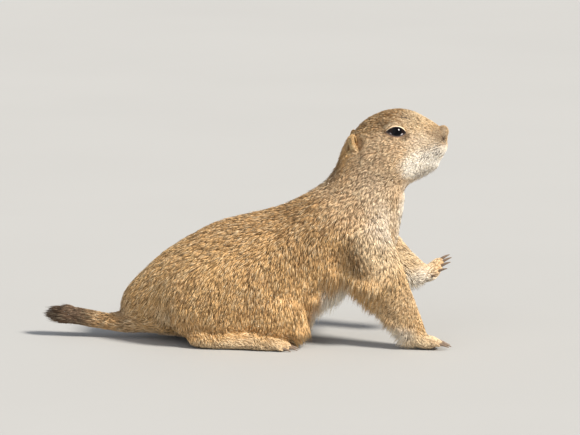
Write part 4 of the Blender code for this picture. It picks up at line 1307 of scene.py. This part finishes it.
class PRAIRIEDOG_OT_lids(bpy.types.Operator):
    """Roll the edges of the lids round each eye"""

    bl_idname = "prairiedog.lids"
    bl_label = "Eyelids"

    def execute(self, context):
        material = lid_material()
        around = 96
        for side, word in SIDES:
            centre, radius, out, forward, up = eye_frame(side)
            points, outs, uppers = [], [], []
            for spread, height in LID_ROLL:
                for c in range(around):
                    turn = 2 * math.pi * c / around
                    x, y = lid_opening(turn)
                    away = 1 + spread / math.hypot(x, y)
                    heavier = 1.0 + 0.25 * math.sin(turn) if height > 0 else 1.0
                    flat = x * away * forward + y * away * up
                    reach = min(np.linalg.norm(flat), radius * 0.99)
                    rise = math.sqrt(radius**2 - reach**2)
                    direction = unit(flat + rise * out)
                    points.append(centre + direction * (radius + height * heavier))
                    outs.append((spread + 0.3) / 5 - 0.06 * abs(math.cos(turn)) ** 10)
                    uppers.append(0.5 + 0.5 * math.sin(turn))
            lids = mesh_object(f"lids_{word}", points, grid_faces(len(LID_ROLL), around, True))
            set_attribute(lids.data, "out", np.array(outs))
            set_attribute(lids.data, "upper", np.array(uppers))
            if side == LEFT:
                lids.data.flip_normals()
            dressed(lids, material, "coat", f"eyelids_{word}")
        return {"FINISHED"}


class PRAIRIEDOG_OT_nose(bpy.types.Operator):
    """Model the nose with its comma-shaped nostrils and the groove between them"""

    bl_idname = "prairiedog.nose"
    bl_label = "Nose"

    def execute(self, context):
        centre, ahead, up = nose_frame()
        rings, around = 65, 128
        polar, turn = round_grid(np.pi, rings, around)
        rows = np.stack([np.cos(polar), np.sin(polar) * np.sin(turn), np.sin(polar) * np.cos(turn)], axis=1)
        rows *= NOSE_RADII
        one_side = rows * (1, 0, 1) + np.abs(rows) * (0, 1, 0)
        gap, width = nostril_gap(one_side)
        hollow = np.exp(-((gap / width) ** 4)) * np.minimum(width / 0.8, 1.1)
        rim = np.exp(-(((one_side - (0.6, 5.2, -0.4)) / (1.6, 1.2, 1.6)) ** 2).sum(1))
        groove = np.exp(-((rows[:, 1] / 0.4) ** 2)) * (rows[:, 0] > 0) * np.clip((2.5 - rows[:, 2]) / 2, 0, 1)
        rows *= (1 + 0.05 * rim - 0.07 * groove - 0.3 * hollow)[:, None]
        points = centre + rows[:, :1] * ahead + rows[:, 1:2] * (0, 1, 0) + rows[:, 2:] * up
        nose = mesh_object("nose_pad", points, grid_faces(rings, around, True))
        nose.modifiers.new("weld", "WELD").merge_threshold = WELD
        set_attribute(nose.data, "hollow", hollow)
        dressed(nose, nose_material(), "nose", "nose")
        return {"FINISHED"}


def pinna_height(x, y):
    """How far the ear stands out at a place on its plane, all in mm, and how dark it is there: painted shade
    in the opening and in the slit behind the flap.
    """

    def rise(value, low, high):
        share = np.clip((value - low) / (high - low), 0, 1)
        return share * share * (3 - 2 * share)

    tall = np.sqrt(np.clip(1 - ((y + 0.8) / 6.2) ** 2, 0, 1))
    front_edge = -0.3 + 0.03 * y * y
    flap = 1.7 * tall * rise(x, -3.7, -2.1) * rise(x, front_edge + 0.1, front_edge - 0.5)
    slit = np.exp(-(((x - front_edge - 0.4) / 0.6) ** 2)) * rise(y, -2, 0) * rise(y, 4.9, 3.6)
    bowl = np.exp(-(((x - 0.8) / 1.0) ** 2) - ((y + 1.2) / 1.5) ** 2)
    border = rise(from_ear_middle(x, y), 0.7, 1.0)
    height = 0.3 + flap - 1.5 * slit - 2.6 * bowl - 1.9 * border - 1.6 * rise(x, 0.9, 2.2)
    # the darkness is painted shade: in the ear's opening, and the shadow that the flap's front edge casts
    # into the slit
    return height, np.clip(1.4 * bowl + 1.2 * slit - 0.2, 0, 1)


class PRAIRIEDOG_OT_ears(bpy.types.Operator):
    """Shape each small ear: a low flap behind the opening, and the hollow in front of it"""

    bl_idname = "prairiedog.ears"
    bl_label = "Ears"

    def execute(self, context):
        material = ear_material()
        tree = skin_tree()
        rings, around = 40, 96
        share, turn = round_grid(1, rings, around)
        x = EAR_MIDDLE[0] + EAR_REACH[0] * share * np.cos(turn)
        y = EAR_MIDDLE[1] + EAR_REACH[1] * share * np.sin(turn)
        places = np.stack([x, y, 0 * x], axis=1)
        for side, word in SIDES:
            middle, out, ahead, up = ear_frame(word, side)
            height, inner = pinna_height(x, y)
            flat = middle + x[:, None] * ahead + y[:, None] * up
            seats = (nearest_on(tree, flat[-around:])[0] - flat[-around:]) @ out
            height += blended(places, places[-around:], seats[:, None])[:, 0]
            bottom = np.tile(middle - 3 * out, (around, 1))
            points = np.concatenate([flat + height[:, None] * out, bottom])
            ear = mesh_object(f"pinna_{word}", points, grid_faces(rings + 1, around, True))
            set_attribute(ear.data, "inner", np.concatenate([inner, np.zeros(around)]))
            if side == RIGHT:
                ear.data.flip_normals()
            dressed(ear, material, "coat", f"ear_{word}")
        return {"FINISHED"}


class PRAIRIEDOG_OT_claws(bpy.types.Operator):
    """Smooth the horn of the claws"""

    bl_idname = "prairiedog.claws"
    bl_label = "Claws"

    def execute(self, context):
        material = claw_material()
        for foot in ("forefoot", "hindfoot"):
            for _, word in SIDES:
                nodes = [name for name in frame["nodes"] if name.startswith(f"{foot}_{word}_claw")]
                copies = []
                for name in nodes:
                    points, triangles, _ = solids_surface([name])
                    rounded = np.round(points, 3)
                    _, first, same = np.unique(rounded, axis=0, return_index=True, return_inverse=True)
                    copies.append(mesh_object("claw", points[first], same.reshape(-1)[triangles]))
                    copies[-1].modifiers.new("round", "SUBSURF").levels = 2
                dressed(joined(f"claws_{foot}_{word}", copies), material, "claw", *nodes)
        return {"FINISHED"}


def strand(start, heading, length, thickness, sag, steps=9, sides=5):
    """Points, quads and shares of the length for one tapered hair with a small bulb at its root."""
    start, heading = np.asarray(start, float), unit(np.asarray(heading, float))
    side = unit(np.cross(heading, (0.1, 0.2, 1.0)))
    points, shares = [], []
    for k in range(steps):
        share = (k / (steps - 1)) ** 1.6
        centre = start + heading * (length * share - 0.3) + np.array((0, 0, -sag * length * share**2))
        ahead = unit(heading - np.array((0, 0, 2 * sag * share)))
        up = np.cross(side, ahead)
        radius = thickness * (1 - 0.9 * share) + 0.22 * (share < 0.03)
        for c in range(sides):
            turn = 2 * math.pi * c / sides
            points.append(centre + radius * (math.cos(turn) * side + math.sin(turn) * up))
            shares.append(share)
    return points, grid_faces(steps, sides, True), shares


def whisker_roots():
    """Root in mm, heading, length, thickness and sag of each whisker of the muzzle and brow."""
    longest = bpy.context.scene.prairie_dog_face.whisker_length / MM
    draw = np.random.default_rng(11)
    tree = skin_tree()
    hairs = []
    for side in (RIGHT, LEFT):
        roots = []
        for row in range(5):
            for column in range(7):
                x = 131.0 - 2.05 * column - 0.5 * (row % 2)
                z = 137.0 - 1.75 * row - 0.5 * column
                turn = (-0.8 - 0.04 * column, (0.6 - 0.04 * column) * side, 0.02 - 0.16 * row)
                length = longest * (0.22 + 0.12 * column) * (1 - 0.08 * row)
                roots.append((x, z, turn, length, 0.09 + 0.008 * column, 0.12))
        for k in range(3):
            turn = (-0.75, 0.45 * side, 0.45 - 0.1 * k)
            roots.append((106 + 2.0 * k, 153 - 0.4 * k, turn, 0.4 * longest, 0.08, 0.08))
        for x, z, turn, length, thickness, sag in roots:
            spot, _, _, _ = tree.ray_cast(Vector(placed((x, 40 * side, z))), Vector((0, -side, 0)))
            if spot is not None:
                turn = np.array(turn) + draw.normal(size=3) * 0.06
                hairs.append((np.array(spot), turn, length, thickness, sag))
    return hairs


class PRAIRIEDOG_OT_whiskers(bpy.types.Operator):
    """Set the whiskers of the muzzle and brow"""

    bl_idname = "prairiedog.whiskers"
    bl_label = "Whiskers"

    def execute(self, context):
        points, faces, shares = [], [], []
        for hair in whisker_roots():
            rows, quads, along = strand(*hair)
            faces += [tuple(corner + len(points) for corner in quad) for quad in quads]
            points += rows
            shares += along
        whiskers = mesh_object("whiskers", points, faces)
        set_attribute(whiskers.data, "along", np.array(shares))
        dressed(whiskers, whisker_material(), "dark_coat")
        return {"FINISHED"}


class PRAIRIEDOG_OT_studio(bpy.types.Operator):
    """Lay the pale floor, and set the lights and the camera"""

    bl_idname = "prairiedog.studio"
    bl_label = "Studio"

    def execute(self, context):
        studio = context.scene.prairie_dog_studio
        corners = [(x * FLOOR_REACH, y * FLOOR_REACH, 0) for x, y in ((-1, -1), (1, -1), (1, 1), (-1, 1))]
        floor = mesh_object("floor", corners, [(0, 1, 2, 3)])
        floor.location.z = -0.0002
        paint = Paint("floor", 0.8)
        tone = paint.step(paint.noise(paint.place(), 300, 3.0), 0.2, 0.8)
        colour = paint.mix(tone, tuple(studio.floor), tinted(studio.floor, 0.97))
        floor.data.materials.append(paint.finish(colour))

        world = bpy.data.worlds.new("studio")
        context.scene.world = world
        world.use_nodes = True
        sky = world.node_tree.nodes["Background"].inputs
        sky["Color"].default_value = (0.86, 0.91, 1.0, 1)
        sky["Strength"].default_value = studio.sky
        for name, toward, spread, colour in LIGHTS:
            light = bpy.data.objects.new(name, bpy.data.lights.new(name, "SUN"))
            light.data.energy = getattr(studio, name)
            light.data.angle = math.radians(spread)
            light.data.color = colour
            light.rotation_mode = "QUATERNION"
            light.rotation_quaternion = Vector(toward).to_track_quat("Z", "Y")
            context.scene.collection.objects.link(light)

        turn, tilt = math.radians(CAMERA_TURN), math.radians(CAMERA_TILT)
        back = Vector((math.sin(turn) * math.cos(tilt), -math.cos(turn) * math.cos(tilt), math.sin(tilt)))
        right = Vector((math.cos(turn), math.sin(turn), 0))
        aim = right * AIM_RIGHT + right.cross(-back) * AIM_UP + Vector((AIM_X, 0, 0))
        camera = bpy.data.objects.new("camera", bpy.data.cameras.new("camera"))
        context.scene.collection.objects.link(camera)
        camera.data.sensor_width = SENSOR
        camera.data.lens = SENSOR * studio.distance / (PHOTO_WIDTH * PIXEL)
        camera.data.clip_end = 60
        camera.location = aim + back * studio.distance
        camera.rotation_mode = "QUATERNION"
        camera.rotation_quaternion = (-back).to_track_quat("-Z", "Y")
        context.scene.camera = camera
        context.scene.view_settings.view_transform = "Standard"
        return {"FINISHED"}


class PRAIRIEDOG_PT_panel(bpy.types.Panel):
    """Steps and settings of the prairie dog"""

    bl_label = "Prairie dog"
    bl_idname = "PRAIRIEDOG_PT_panel"
    bl_space_type = "VIEW_3D"
    bl_region_type = "UI"
    bl_category = "Prairie dog"

    def draw(self, context):
        for group in (
            context.scene.prairie_dog_coat,
            context.scene.prairie_dog_face,
            context.scene.prairie_dog_studio,
        ):
            box = self.layout.box()
            for name in group.bl_rna.properties.keys():
                if name not in ("rna_type", "name"):
                    box.prop(group, name)
        for step in STEPS:
            self.layout.operator(step.bl_idname)


STEPS = (
    PRAIRIEDOG_OT_skin,
    PRAIRIEDOG_OT_eyes,
    PRAIRIEDOG_OT_lids,
    PRAIRIEDOG_OT_nose,
    PRAIRIEDOG_OT_ears,
    PRAIRIEDOG_OT_coat,
    PRAIRIEDOG_OT_whiskers,
    PRAIRIEDOG_OT_claws,
    PRAIRIEDOG_OT_studio,
)
CLASSES = (CoatSettings, FaceSettings, StudioSettings, *STEPS, PRAIRIEDOG_PT_panel)


def register():
    for found in CLASSES:
        bpy.utils.register_class(found)
    bpy.types.Scene.prairie_dog_coat = PointerProperty(type=CoatSettings)
    bpy.types.Scene.prairie_dog_face = PointerProperty(type=FaceSettings)
    bpy.types.Scene.prairie_dog_studio = PointerProperty(type=StudioSettings)


def unregister():
    del bpy.types.Scene.prairie_dog_studio
    del bpy.types.Scene.prairie_dog_face
    del bpy.types.Scene.prairie_dog_coat
    for found in reversed(CLASSES):
        bpy.utils.unregister_class(found)


def main():
    register()
    for step in STEPS:
        getattr(bpy.ops.prairiedog, step.bl_idname.split(".")[1])()


if __name__ == "__main__":
    main()
